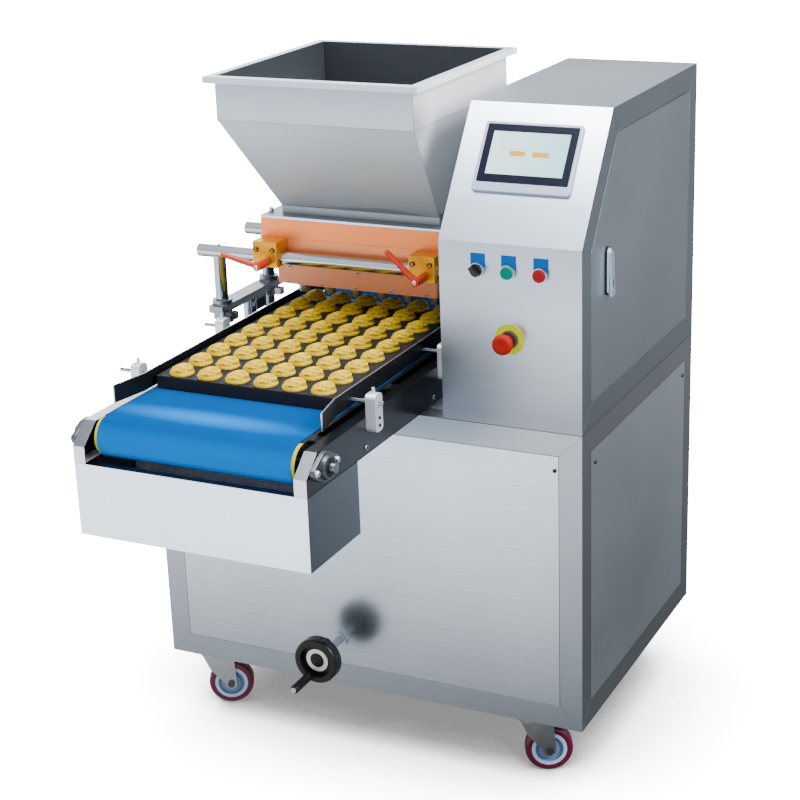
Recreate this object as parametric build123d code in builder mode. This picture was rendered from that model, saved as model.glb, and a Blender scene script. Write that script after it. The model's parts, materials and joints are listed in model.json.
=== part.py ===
from build123d import *
import os
from math import cos, radians, sin

# All sizes are in millimetres, +Z is up, the machine faces -Y and the control cabinet is on the +X side.

# Overall size and the faces that everything is placed from
base_width = 970
base_depth = 694
base_height = 637
caster_height = 138
latch_reach = 14
conveyor_front_reach = 463
conveyor_back_reach = 30
overall_length = conveyor_front_reach + base_depth + conveyor_back_reach
right_face = (base_width - latch_reach) / 2
left_face = right_face - base_width
front_face = conveyor_front_reach - overall_length / 2
back_face = front_face + base_depth
base_bottom = caster_height
deck_top = base_bottom + base_height

# Fits
shaft_clearance = 0.06
running_gap = 0.3
seat_gap = 0.05
cut_margin = 5

# Base cabinet
frame_face = 48
frame_wall = 3
panel_gap = 0.6
panel_lip = 12
panel_lip_thickness = 1.5
gland_radius = 14
gland_bore = 5
gland_reach = 22
gland_from_right = 120
gland_height = 110

# Casters
wheel_radius = 50
wheel_width = 32
tyre_thickness = 13
tyre_round = 7
hub_groove_depth = 6
hub_groove_inner = 21
hub_groove_outer = 29
caster_trail = 36
caster_left_inset = 72
caster_right_inset = 132
caster_end_inset = 52
caster_plate_length = 100
caster_plate_width = 84
caster_plate_thickness = 5
raceway_radius = 28
raceway_height = 8
kingpin_radius = 6
kingpin_recess = 1
crown_radius = 30
crown_thickness = 5
fork_leg_thickness = 3
fork_leg_gap = 2
fork_leg_front = 25
fork_leg_back = 44
fork_knee_shift = 9
fork_leg_end = 13
axle_radius = 5
axle_nut_radius = 8
axle_nut_thickness = 5

# Control cabinet
cabinet_width = 290
cabinet_height = 597
slant_start = 363
slant_depth = 169
cabinet_wall = 2
door_gap = 3
door_thickness = 12
door_skin = 2
pivot_inset = 6
pivot_radius = 3
pivot_length = 12
pivot_lug = 12
pivot_lug_height = 10
latch_from_front = 137
latch_above_deck = 290
latch_plate_width = 24
latch_plate_height = 96
latch_plate_thickness = 3
latch_base_height = 90
latch_base_thickness = 3
latch_pivot_rise = 32
latch_bar_width = 17
latch_bar_length = 80
latch_bar_thickness = 5
latch_spindle_radius = 5
latch_cam_length = 95
latch_cam_width = 12
latch_cam_thickness = 3
latch_cam_gap = 4

# Operator panel
screen_width = 200
screen_height = 146
screen_bezel = 7
screen_box_depth = 36
screen_box_inset = 6
screen_fit = 1
screen_from_right = 146
screen_up_slant = 174
glass_side_margin = 8
glass_top_margin = 8
glass_bottom_margin = 18
glass_depth = 2
selector_column = 209
start_column = 146
stop_button_column = 81
switch_above_deck = 311
stop_above_deck = 178
stop_column = 146
legend_width = 30
legend_above = 31
legend_below = 2
legend_thickness = 1
stop_disc_radius = 30
bezel_radius = 14.5
bezel_length = 10
barrel_radius = 11
barrel_length = 20
barrel_fit = 0.1
contact_width = 30
contact_height = 42
contact_depth = 40
cap_radius = 12.3
cap_thickness = 7
cap_proud = 3.5
cap_travel = 4
cap_cavity = 8
cap_stem_radius = 4
cap_stem_length = 18
cap_round = 1
grip_width = 8
grip_length = 23
grip_depth = 11
grip_turn = -45
stop_bezel_radius = 18
stop_barrel_radius = 14
stop_stem_radius = 11
stop_head_radius = 20
stop_head_thickness = 18
stop_reach = 45
stop_travel = 5
stop_head_round = 6

# Parts inside the control cabinet
module_plate_from_right = 196
module_plate_thickness = 2
module_plate_height = 380
module_plate_front = 60
module_plate_back = 540
module_depth = 80
module_sizes = ((70, 110, 210), (195, 130, 210), (350, 150, 60), (350, 150, 210))
module_height = 110
motor_side = 86
motor_length = 118

# Conveyor
lane_left_room = 129
lane_cabinet_gap = 53
lane_half = (base_width - cabinet_width - lane_left_room - lane_cabinet_gap) / 2
lane_x = left_face + lane_left_room + lane_half
channel_flange = 26
channel_wall = 3
channel_height = 72
nose_depth = 44
nose_height = 34
belt_rise = 81
belt_top = deck_top + belt_rise
belt_layer = 2
front_roller_radius = 35.7
rear_roller_radius = 29.7
front_roller_setback = 59
rear_roller_inset = 54
roller_shaft_radius = 10
web_hole_radius = 13
front_shaft_end = 12
belt_side_gap = 42
belt_half = lane_half - belt_side_gap
lining_reach = 6.5
lining_half = belt_half + lining_reach
bearing_radius = 29
bearing_ear_radius = 11
bearing_ear_offset = 38
bearing_flange = 10
bearing_boss_radius = 23
bearing_boss = 18
bed_inset = 1
bed_half = belt_half - bed_inset
bed_thickness = 4
bed_end_gap = 12
crossbar_depth = 30
crossbar_low = 44
crossbar_high = 66
crossbar_count = 4
riser_inset = 6
riser_half = bed_half - riser_inset
drip_depth = 197
drip_height = 146
drip_wall = 2
drip_lip = 18
bracket_front_row = -212
bracket_rear_row = 108
bracket_thickness = 21
bracket_width = 30
bracket_low = 43
bracket_high = 117
bracket_round = 9
guide_rod_rise = 99
guide_rod_radius = 4
guide_rod_left_overhang = 33
guide_rod_right_overhang = 11
clamp_screw_radius = 3.2
clamp_screw_height = 11
guide_side_gap = 41
guide_inner = lane_half - guide_side_gap
guide_thickness = 3
guide_low = 85
guide_high = 120
guide_front = -352
guide_flare = 15
guide_flare_length = 80
guide_back = base_depth - rear_roller_inset

# Baking tray and batter portions
tray_side_play = 8
tray_width = 2 * (guide_inner - tray_side_play)
tray_length = 600
tray_height = 27
tray_wall = 3
tray_front = -241
portion_rows = 9
portion_side_room = 25
portion_end_room = 26
portion_pitch_x = 62.5
portion_columns = max(1, int((tray_width - portion_side_room) / portion_pitch_x))
portion_pitch_y = (tray_length - 2 * portion_end_room) / (portion_rows - 1)
portion_spacing = 13.5
portion_radius = (portion_pitch_x - portion_spacing) / 2
portion_undercut = 1
portion_bulge = 6
portion_shoulder = 13
portion_height = 17
portion_tip_radius = 5
portion_neck = 20.5
portion_tip_height = 23

# Depositing head
head_from_front = 310
head_y = front_face + head_from_front
head_half_depth = 78
rim_rise = 638
lip_height = 13
lip_width = 18
hopper_wall = 2
hopper_side_gap = 29
hopper_half_width = lane_half - hopper_side_gap
hopper_half_depth = 232
straight_rise = 549
taper_rise = 333
taper_reach = 35
throat_half_width = hopper_half_width - taper_reach
throat_half_depth = 50
flange_rise = 316
flange_thickness = 6
head_side_gap = 25
head_half_width = lane_half - head_side_gap
valve_block_low = 269
feed_bore_radius = 14
ear_reach = 37
manifold_half_width = head_half_width - ear_reach
manifold_low = 169
ear_low = 216
nozzle_low = 139
nozzle_top_radius = 15
nozzle_tip_radius = 12
nozzle_bore_radius = 9
nozzle_count = portion_columns
spool_rise = 195
spool_setback = 20
spool_y = head_y - spool_setback
spool_radius = 20
spool_port_radius = 9
spool_end_wall = 12
spool_shaft_radius = 10
actuator_length = 55
actuator_side = 68
piston_radius = 15
piston_length = 30
piston_gap = 8
piston_rod_radius = 5
piston_bar_from_back = 82
piston_bar_depth = 20
piston_bar_height = 26
piston_stroke = 40
ram_rod_radius = 8
ram_radius = 28
ram_length = 105
ram_plate_thickness = 12
ram_plate_half_width = 60
ram_clearance = 15
ram_arm_low = 290
ram_arm_thickness = 10
ram_rod_depth = 60

# Support rods, clamps and lift
rod_offset = 102
rod_rise = 233
rod_radius = 14
rod_left_inset = 10
rod_cabinet_reach = 55
clamp_set_in = 4
clamp_width = 59
clamp_right_shift = 14
clamp_low = 216
clamp_high = 270
clamp_depth = 48
clamp_round = 2
lever_drop = 5
lever_shift = 7
lever_hub_radius = 9
lever_hub_length = 44
lever_stud_radius = 4
lever_stud_show = 6
lever_stud_depth = 8
lever_length = 84
lever_root_radius = 7
lever_tip_radius = 5.5
lever_lean = 4
left_lever_rise = 14
right_lever_rise = 44
post_left_inset = 60
post_cabinet_inset = 35
arm_half_width = 20
arm_low = 101
arm_high = 117
arm_overhang = 30
arm_round = 6
collar_radius = 22
collar_high = 127
column_radius = 15
column_shift = 8
stud_radius = 6
stud_below_deck = 60
crosshead_low = 300
crosshead_high = 330
crosshead_half_depth = 30
crosshead_overhang = 30
lift_travel = 40
handwheel_from_left = 425
handwheel_rise = 106
screw_shift = 34
screw_radius = 15
screw_bottom = 50
jack_half = 62
jack_height = 140
slot_play = 3

# Handwheel
handwheel_front = 114
handwheel_radius = 49
handwheel_thickness = 26
handwheel_dish = 14
handwheel_dish_radius = 35
handwheel_round = 6
hub_ring_outer = 25
hub_ring_inner = 16
hub_ring_height = 4
wheel_shaft_radius = 8
wheel_boss_radius = 18
wheel_boss_reach = 6
wheel_lug_radius = 11
wheel_lug_set_back = 8
crank_radius = 40
crank_angle = 245
crank_pin_radius = 4
crank_head_radius = 6
crank_head_thickness = 3
crank_grip_radius = 9.5
crank_grip_length = 62
crank_grip_round = 3

# Places worked out from the sizes above
CORNER = (Align.MIN, Align.MIN, Align.MIN)
FOOT = (Align.CENTER, Align.CENTER, Align.MIN)
ALONG_X = (1, 0, 0)
ALONG_Y = (0, 1, 0)
ALONG_Z = (0, 0, 1)
conveyor_front = front_face - conveyor_front_reach
conveyor_back = back_face + conveyor_back_reach
belt_thickness = 2 * belt_layer + seat_gap + running_gap
front_roller_y = conveyor_front + front_roller_setback
front_roller_z = belt_top - belt_thickness - front_roller_radius
rear_roller_y = back_face - rear_roller_inset
rear_roller_z = belt_top - belt_thickness - rear_roller_radius
cabinet_left = right_face - cabinet_width
cabinet_top = deck_top + cabinet_height
post_left_x = left_face + post_left_inset
post_right_x = cabinet_left + post_cabinet_inset
column_left_x = post_left_x + column_shift
rod_z = deck_top + rod_rise
rod_rows = (head_y - rod_offset, head_y + rod_offset)
clamp_front_y = head_y - head_half_depth - clamp_depth
lever_z = rod_z - lever_drop
clamp_outer = head_half_width - clamp_set_in
clamp_inner = clamp_outer - clamp_width
clamp_spans = {
    "left": (lane_x - clamp_outer, lane_x - clamp_inner),
    "right": (lane_x + clamp_inner - clamp_right_shift, lane_x + clamp_outer - clamp_right_shift),
}
lever_xs = {side: (span[0] + span[1]) / 2 + lever_shift for side, span in clamp_spans.items()}
lever_rises = {"left": left_lever_rise, "right": right_lever_rise}
handwheel_x = left_face + handwheel_from_left
handwheel_z = base_bottom + handwheel_rise
screw_x = handwheel_x + screw_shift
spool_z = deck_top + spool_rise
latch_y = front_face + latch_from_front
latch_z = deck_top + latch_above_deck
latch_pivot_z = latch_z + latch_pivot_rise
column_xs = [lane_x + (i - (nozzle_count - 1) / 2) * portion_pitch_x for i in range(nozzle_count)]
caster_places = {
    "front_left": (left_face + caster_left_inset, front_face + caster_end_inset),
    "front_right": (right_face - caster_right_inset, front_face + caster_end_inset),
    "rear_left": (left_face + caster_left_inset, back_face - caster_end_inset),
    "rear_right": (right_face - caster_right_inset, back_face - caster_end_inset),
}
caster_headings = {"front_left": 27, "front_right": 27, "rear_left": 0, "rear_right": 180}


def save(piece, label):
    """Label a finished piece and write it to its own file."""
    piece.part.label = label
    export_step(piece.part, f"parts/{label}.step")


def grown(span, amount):
    """Widen a span by the same amount at both ends."""
    return (span[0] - amount, span[1] + amount)


def block(x_span, y_span, z_span, mode=Mode.ADD):
    """Box given by its two limits along each axis."""
    lengths = [span[1] - span[0] for span in (x_span, y_span, z_span)]
    with Locations((x_span[0], y_span[0], z_span[0])):
        Box(*lengths, align=CORNER, mode=mode)


def rod(start, direction, radius, length, mode=Mode.ADD):
    """Round bar or bore that starts at a point and runs along a direction."""
    with Locations(Plane(origin=start, z_dir=direction)):
        Cylinder(radius, length, align=FOOT, mode=mode)


def inset_panel(axis, face, inward, first_span, second_span):
    """Panel flush in a frame window, with a lip behind the frame."""
    layers = ((-panel_gap, 0, frame_wall), (panel_lip, frame_wall, panel_lip_thickness))
    for growth, start, depth in layers:
        near = face + inward * start
        far = near + inward * depth
        spans = [grown(first_span, growth), grown(second_span, growth)]
        spans.insert(axis, (min(near, far), max(near, far)))
        block(*spans)


def cabinet_outline(inset):
    """Side outline of the control cabinet, drawn in by an inset, on the current sketch."""
    Polygon(
        (front_face, deck_top),
        (back_face, deck_top),
        (back_face, cabinet_top),
        (front_face + slant_depth, cabinet_top),
        (front_face, deck_top + slant_start),
        align=None,
    )
    if inset:
        offset(amount=-inset, kind=Kind.INTERSECTION, mode=Mode.REPLACE)


def channel_outline(inset):
    """Side outline of a conveyor channel with its chamfered nose, on the current sketch."""
    Polygon(
        (conveyor_front, deck_top),
        (conveyor_back, deck_top),
        (conveyor_back, deck_top + channel_height),
        (conveyor_front + nose_depth, deck_top + channel_height),
        (conveyor_front, deck_top + nose_height),
        align=None,
    )
    if inset:
        offset(amount=-inset, kind=Kind.INTERSECTION, mode=Mode.REPLACE)


def belt_outline(growth):
    """Loop around both rollers, a given distance outside them, on the current sketch."""
    with Locations((front_roller_y, front_roller_z)):
        Circle(front_roller_radius + growth)
    with Locations((rear_roller_y, rear_roller_z)):
        Circle(rear_roller_radius + growth)
    make_hull()


os.makedirs("parts", exist_ok=True)
x_window = grown((left_face, right_face), -frame_face)
y_window = grown((front_face, back_face), -frame_face)
z_window = grown((base_bottom, deck_top), -frame_face)

# Base cabinet: six window sheets that make its frame, then panels and deck
frame_x = (left_face, right_face)
frame_z = (base_bottom, deck_top)
sheet_room = -frame_wall - seat_gap
between_y = grown((front_face, back_face), sheet_room)
between_x = grown(frame_x, sheet_room)
with BuildPart() as base_frame:
    for near in (front_face, back_face - frame_wall):
        sheet_y = (near, near + frame_wall)
        block(frame_x, sheet_y, frame_z)
        block(x_window, sheet_y, z_window, mode=Mode.SUBTRACT)
    for near in (left_face, right_face - frame_wall):
        sheet_x = (near, near + frame_wall)
        block(sheet_x, between_y, frame_z)
        block(sheet_x, y_window, z_window, mode=Mode.SUBTRACT)
    for near in (base_bottom, deck_top - frame_wall):
        sheet_z = (near, near + frame_wall)
        block(between_x, between_y, sheet_z)
        block(x_window, y_window, sheet_z, mode=Mode.SUBTRACT)
save(base_frame, "base_frame")

panel_back = front_face + frame_wall + panel_lip_thickness
with BuildPart() as base_front_panel:
    inset_panel(1, front_face, 1, x_window, z_window)
    boss_start = (handwheel_x, front_face - wheel_boss_reach, handwheel_z)
    boss_length = panel_back - front_face + 2 * wheel_boss_reach
    rod(boss_start, ALONG_Y, wheel_boss_radius, boss_length)
    rod(boss_start, ALONG_Y, wheel_shaft_radius + shaft_clearance, boss_length, mode=Mode.SUBTRACT)
save(base_front_panel, "base_front_panel")

with BuildPart() as base_panels:
    inset_panel(0, left_face, 1, y_window, z_window)
    inset_panel(0, right_face, -1, y_window, z_window)
    inset_panel(1, back_face, -1, x_window, z_window)
    inset_panel(2, base_bottom, 1, x_window, y_window)
    gland_start = (right_face - gland_from_right, back_face, base_bottom + gland_height)
    rod(gland_start, ALONG_Y, gland_radius, gland_reach)
    gland_mouth = (gland_start[0], back_face - cut_margin, gland_start[2])
    rod(gland_mouth, ALONG_Y, gland_bore, gland_reach + 2 * cut_margin, mode=Mode.SUBTRACT)
save(base_panels, "base_panels")

deck_depth = frame_wall + panel_lip_thickness
stud_low = deck_top - stud_below_deck
with BuildPart() as base_deck:
    inset_panel(2, deck_top, -1, x_window, y_window)
    for column_x in (column_left_x, post_right_x):
        hole_start = (column_x, head_y, deck_top - deck_depth)
        rod(hole_start, ALONG_Z, column_radius + shaft_clearance, deck_depth, mode=Mode.SUBTRACT)
    for row_y in rod_rows:
        hole_start = (post_left_x, row_y, deck_top - deck_depth)
        rod(hole_start, ALONG_Z, stud_radius + shaft_clearance, deck_depth, mode=Mode.SUBTRACT)
save(base_deck, "base_deck")

# Casters: fixed plates, then one swivel fork and one wheel each
raceway_low = base_bottom - caster_plate_thickness - raceway_height
with BuildPart() as caster_plates:
    for swivel_x, swivel_y in caster_places.values():
        block(
            grown((swivel_x, swivel_x), caster_plate_length / 2),
            grown((swivel_y, swivel_y), caster_plate_width / 2),
            (base_bottom - caster_plate_thickness, base_bottom),
        )
        foot = (swivel_x, swivel_y, raceway_low)
        rod(foot, ALONG_Z, raceway_radius, raceway_height)
        bore_length = raceway_height + caster_plate_thickness
        rod(foot, ALONG_Z, kingpin_radius + shaft_clearance, bore_length, mode=Mode.SUBTRACT)
save(caster_plates, "caster_plates")

crown_top = raceway_low - running_gap
crown_low = crown_top - crown_thickness
leg_inner = wheel_width / 2 + fork_leg_gap
leg_outer = leg_inner + fork_leg_thickness
axle_half = leg_outer + axle_nut_thickness
pin_length = base_bottom - kingpin_recess - crown_low
hub_radius = wheel_radius - tyre_thickness
with BuildPart() as plain_fork:
    rod((0, 0, crown_low), ALONG_Z, crown_radius, crown_thickness)
    rod((0, 0, crown_low), ALONG_Z, kingpin_radius, pin_length)
    for leg_y in (-leg_inner, leg_outer):
        with BuildSketch(Plane.XZ.offset(-leg_y)):
            Polygon(
                (-fork_leg_front, crown_top),
                (fork_leg_back, crown_top),
                (caster_trail + fork_leg_end, wheel_radius),
                (caster_trail - fork_leg_end, wheel_radius),
                (-fork_knee_shift, (crown_top + wheel_radius) / 2),
                align=None,
            )
            with Locations((caster_trail, wheel_radius)):
                Circle(fork_leg_end)
        extrude(amount=fork_leg_thickness)
    rod((caster_trail, -axle_half, wheel_radius), ALONG_Y, axle_radius, 2 * axle_half)
    for nut_y in (-axle_half, leg_outer):
        rod((caster_trail, nut_y, wheel_radius), ALONG_Y, axle_nut_radius, axle_nut_thickness)

with BuildPart() as plain_wheel:
    rim_start = (caster_trail, -wheel_width / 2, wheel_radius)
    rod(rim_start, ALONG_Y, wheel_radius, wheel_width)
    fillet(edges().filter_by(GeomType.CIRCLE), tyre_round)
    rod(rim_start, ALONG_Y, hub_radius + seat_gap, wheel_width, mode=Mode.SUBTRACT)
    rod(rim_start, ALONG_Y, hub_radius, wheel_width)
    for groove_y in (-wheel_width / 2, wheel_width / 2 - hub_groove_depth):
        with BuildSketch(Plane.XZ.offset(-groove_y)):
            with Locations((caster_trail, wheel_radius)):
                Circle(hub_groove_outer)
                Circle(hub_groove_inner, mode=Mode.SUBTRACT)
        extrude(amount=-hub_groove_depth, mode=Mode.SUBTRACT)
    rod(rim_start, ALONG_Y, axle_radius + shaft_clearance, wheel_width, mode=Mode.SUBTRACT)

for place, (swivel_x, swivel_y) in caster_places.items():
    caster_place = Location((swivel_x, swivel_y, 0), (0, 0, caster_headings[place]))
    with BuildPart() as caster_fork:
        with Locations(caster_place):
            add(plain_fork.part)
    save(caster_fork, f"caster_fork_{place}")
    with BuildPart() as caster_wheel:
        with Locations(caster_place):
            add(plain_wheel.part)
    save(caster_wheel, f"caster_wheel_{place}")

# Control cabinet shell with its console, door opening, wall slots and door pivots
slant_low = Vector(0, front_face, deck_top + slant_start)
slant_high = Vector(0, front_face + slant_depth, cabinet_top)
slant_up = (slant_high - slant_low).normalized()
slant_out = Vector(0, -slant_up.Z, slant_up.Y)
screen_centre = slant_low + slant_up * screen_up_slant + Vector(right_face - screen_from_right, 0, 0)
slant_plane = Plane(origin=screen_centre, x_dir=ALONG_X, z_dir=slant_out)
door_inset = frame_face + door_gap
door_back = back_face - door_inset
door_low = deck_top + door_inset
door_high = cabinet_top - door_inset
pivot_x = right_face - pivot_inset
pivot_y = door_back - pivot_inset
switch_xs = [right_face - column for column in (selector_column, start_column, stop_button_column)]
switch_z = deck_top + switch_above_deck
stop_x = right_face - stop_column
stop_z = deck_top + stop_above_deck
wall_slot = rod_radius + slot_play
with BuildPart() as cabinet_shell:
    with BuildSketch(Plane.YZ.offset(cabinet_left)):
        cabinet_outline(0)
    extrude(amount=cabinet_width)
    with BuildSketch(Plane.YZ.offset(cabinet_left + cabinet_wall)):
        cabinet_outline(cabinet_wall)
    extrude(amount=cabinet_width - 2 * cabinet_wall, mode=Mode.SUBTRACT)
    with BuildSketch(Plane.YZ.offset(right_face - cabinet_wall)):
        cabinet_outline(frame_face)
    extrude(amount=cabinet_wall, mode=Mode.SUBTRACT)
    with BuildSketch(slant_plane):
        Rectangle(
            screen_width - 2 * screen_box_inset + 2 * screen_fit,
            screen_height - 2 * screen_box_inset + 2 * screen_fit,
        )
    extrude(amount=-2 * cabinet_wall, mode=Mode.SUBTRACT)
    for switch_x in switch_xs:
        hole_start = (switch_x, front_face, switch_z)
        rod(hole_start, ALONG_Y, barrel_radius + barrel_fit, cabinet_wall, mode=Mode.SUBTRACT)
    hole_start = (stop_x, front_face, stop_z)
    rod(hole_start, ALONG_Y, stop_barrel_radius + barrel_fit, cabinet_wall, mode=Mode.SUBTRACT)
    for row_y in rod_rows:
        block(
            (cabinet_left, cabinet_left + cabinet_wall),
            grown((row_y, row_y), wall_slot),
            (rod_z - wall_slot, rod_z + wall_slot + lift_travel),
            mode=Mode.SUBTRACT,
        )
    hole_start = (cabinet_left, rear_roller_y, rear_roller_z)
    rod(hole_start, ALONG_X, web_hole_radius, cabinet_wall, mode=Mode.SUBTRACT)
    hole_start = (post_right_x, head_y, deck_top)
    rod(hole_start, ALONG_Z, column_radius + slot_play, cabinet_wall, mode=Mode.SUBTRACT)
    lug_x = (right_face - 2 * pivot_inset, right_face)
    lug_y = (door_back - pivot_lug, door_back)
    block(lug_x, lug_y, (door_high + door_gap, door_high + door_gap + pivot_lug_height))
    block(lug_x, lug_y, (door_low - door_gap - pivot_lug_height, door_low - door_gap))
    pin_high = (pivot_x, pivot_y, door_high + door_gap - pivot_length)
    rod(pin_high, ALONG_Z, pivot_radius, pivot_length)
    rod((pivot_x, pivot_y, door_low - door_gap), ALONG_Z, pivot_radius, pivot_length)
save(cabinet_shell, "cabinet_shell")

door_inner_x = right_face - door_thickness
with BuildPart() as cabinet_door:
    with BuildSketch(Plane.YZ.offset(door_inner_x)):
        cabinet_outline(door_inset)
    extrude(amount=door_thickness)
    with BuildSketch(Plane.YZ.offset(door_inner_x)):
        cabinet_outline(door_inset + door_skin)
    extrude(amount=door_thickness - door_skin, mode=Mode.SUBTRACT)
    bush_x = (door_inner_x, right_face - door_skin)
    bush_y = (door_back - 2 * pivot_inset, door_back)
    block(bush_x, bush_y, (door_high - pivot_length, door_high))
    block(bush_x, bush_y, (door_low, door_low + pivot_length))
    for bush_z in (door_high - pivot_length, door_low):
        bore_start = (pivot_x, pivot_y, bush_z)
        rod(bore_start, ALONG_Z, pivot_radius + shaft_clearance, pivot_length, mode=Mode.SUBTRACT)
    with BuildSketch(Plane.YZ.offset(right_face)):
        with Locations((latch_y, latch_z)):
            SlotOverall(latch_plate_height, latch_plate_width, rotation=90)
    extrude(amount=latch_plate_thickness)
    with BuildSketch(Plane.YZ.offset(right_face + latch_plate_thickness)):
        with Locations((latch_y, latch_z)):
            SlotOverall(latch_base_height, latch_bar_width, rotation=90)
    extrude(amount=latch_base_thickness)
    spindle_start = (right_face - door_skin, latch_y, latch_pivot_z)
    spindle_hole = door_skin + latch_plate_thickness + latch_base_thickness
    rod(spindle_start, ALONG_X, latch_spindle_radius + shaft_clearance, spindle_hole, mode=Mode.SUBTRACT)
save(cabinet_door, "cabinet_door")

boss_x = right_face + latch_plate_thickness + latch_base_thickness + running_gap
cam_x = door_inner_x - latch_cam_gap - latch_cam_thickness
bar_tip_x = right_face + latch_reach
bar_low_z = latch_pivot_z - latch_bar_length
with BuildPart() as latch_handle:
    rod((boss_x, latch_y, latch_pivot_z), ALONG_X, latch_bar_width / 2, latch_bar_thickness)
    rod((cam_x, latch_y, latch_pivot_z), ALONG_X, latch_spindle_radius, boss_x - cam_x)
    with BuildSketch(Plane.XZ.offset(-(latch_y + latch_bar_width / 2))):
        Polygon(
            (boss_x, latch_pivot_z),
            (bar_tip_x - latch_bar_thickness, bar_low_z),
            (bar_tip_x, bar_low_z),
            (boss_x + latch_bar_thickness, latch_pivot_z),
            align=None,
        )
    extrude(amount=latch_bar_width)
    block(
        (cam_x, cam_x + latch_cam_thickness),
        grown((latch_y, latch_y), latch_cam_width / 2),
        (latch_pivot_z - latch_cam_length, latch_pivot_z + latch_cam_width / 2),
    )
save(latch_handle, "latch_handle")

# Touch screen on the slanted console
glass_width = screen_width - 2 * glass_side_margin
glass_height = screen_height - glass_top_margin - glass_bottom_margin
glass_shift = (glass_bottom_margin - glass_top_margin) / 2
with BuildPart() as hmi_housing:
    with BuildSketch(slant_plane):
        RectangleRounded(screen_width, screen_height, screen_bezel)
    extrude(amount=screen_bezel)
    with BuildSketch(slant_plane):
        Rectangle(screen_width - 2 * screen_box_inset, screen_height - 2 * screen_box_inset)
    extrude(amount=-screen_box_depth)
    with BuildSketch(slant_plane.offset(screen_bezel)):
        with Locations((0, glass_shift)):
            Rectangle(glass_width + 2 * seat_gap, glass_height + 2 * seat_gap)
    extrude(amount=-glass_depth, mode=Mode.SUBTRACT)
save(hmi_housing, "hmi_housing")

with BuildPart() as hmi_screen:
    with BuildSketch(slant_plane.offset(screen_bezel - glass_depth)):
        with Locations((0, glass_shift)):
            Rectangle(glass_width, glass_height)
    extrude(amount=glass_depth)
save(hmi_screen, "hmi_screen")

# Legend plates, switch bodies and what the operator turns or presses
legend_front = front_face - legend_thickness
with BuildPart() as legend_plates:
    for switch_x in switch_xs:
        block(
            grown((switch_x, switch_x), legend_width / 2),
            (legend_front, front_face),
            (switch_z - legend_below, switch_z + legend_above),
        )
        hole_start = (switch_x, legend_front, switch_z)
        rod(hole_start, ALONG_Y, barrel_radius + barrel_fit, legend_thickness, mode=Mode.SUBTRACT)
    disc_start = (stop_x, legend_front, stop_z)
    rod(disc_start, ALONG_Y, stop_disc_radius, legend_thickness)
    rod(disc_start, ALONG_Y, stop_barrel_radius + barrel_fit, legend_thickness, mode=Mode.SUBTRACT)
save(legend_plates, "legend_plates")

bezel_front = legend_front - bezel_length
contact_front = legend_front + barrel_length
cap_front = bezel_front - cap_proud
cap_back = cap_front + cap_thickness
stem_bore = cap_stem_length + cap_travel + running_gap
stop_stem_end = contact_front - stop_travel - running_gap
with BuildPart() as switch_bodies:
    round_sizes = [(x, switch_z, bezel_radius, barrel_radius) for x in switch_xs]
    round_sizes.append((stop_x, stop_z, stop_bezel_radius, stop_barrel_radius))
    for body_x, body_z, ring, barrel in round_sizes:
        rod((body_x, bezel_front, body_z), ALONG_Y, ring, bezel_length)
        rod((body_x, legend_front, body_z), ALONG_Y, barrel, barrel_length)
        block(
            grown((body_x, body_x), contact_width / 2),
            (contact_front, contact_front + contact_depth),
            grown((body_z, body_z), contact_height / 2),
        )
    for switch_x in switch_xs:
        mouth = (switch_x, bezel_front, switch_z)
        rod(mouth, ALONG_Y, cap_radius + running_gap, cap_cavity, mode=Mode.SUBTRACT)
        stem_mouth = (switch_x, cap_back, switch_z)
        rod(stem_mouth, ALONG_Y, cap_stem_radius + shaft_clearance, stem_bore, mode=Mode.SUBTRACT)
    stop_bore_length = contact_front - bezel_front
    mouth = (stop_x, bezel_front, stop_z)
    rod(mouth, ALONG_Y, stop_stem_radius + shaft_clearance, stop_bore_length, mode=Mode.SUBTRACT)
save(switch_bodies, "switch_bodies")

for switch_x, label in zip(switch_xs, ("selector_knob", "start_button", "stop_button")):
    with BuildPart() as switch_cap:
        rod((switch_x, cap_front, switch_z), ALONG_Y, cap_radius, cap_thickness)
        fillet(faces().sort_by(Axis.Y)[0].edges(), cap_round)
        rod((switch_x, cap_back, switch_z), ALONG_Y, cap_stem_radius, cap_stem_length)
        if label == "selector_knob":
            with BuildSketch(Plane.XZ.offset(-cap_front)):
                with Locations((switch_x, switch_z)):
                    SlotOverall(grip_length, grip_width, rotation=grip_turn)
            extrude(amount=grip_depth)
    save(switch_cap, label)

stop_head_front = front_face - stop_reach
with BuildPart() as estop_button:
    rod((stop_x, stop_head_front, stop_z), ALONG_Y, stop_head_radius, stop_head_thickness)
    fillet(faces().sort_by(Axis.Y)[0].edges(), stop_head_round)
    stem_length = stop_stem_end - stop_head_front
    stem_start = (stop_x, stop_head_front + stop_head_round, stop_z)
    rod(stem_start, ALONG_Y, stop_stem_radius, stem_length - stop_head_round)
save(estop_button, "estop_button")

# Parts inside the control cabinet
plate_x = right_face - module_plate_from_right
cabinet_floor = deck_top + cabinet_wall
with BuildPart() as control_modules:
    block(
        (plate_x, plate_x + module_plate_thickness),
        (front_face + module_plate_front, front_face + module_plate_back),
        (cabinet_floor, cabinet_floor + module_plate_height),
    )
    module_x = plate_x + module_plate_thickness + seat_gap
    for module_y, module_length, module_rise in module_sizes:
        block(
            (module_x, module_x + module_depth),
            (front_face + module_y, front_face + module_y + module_length),
            (cabinet_floor + module_rise, cabinet_floor + module_rise + module_height),
        )
save(control_modules, "control_modules")

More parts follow.
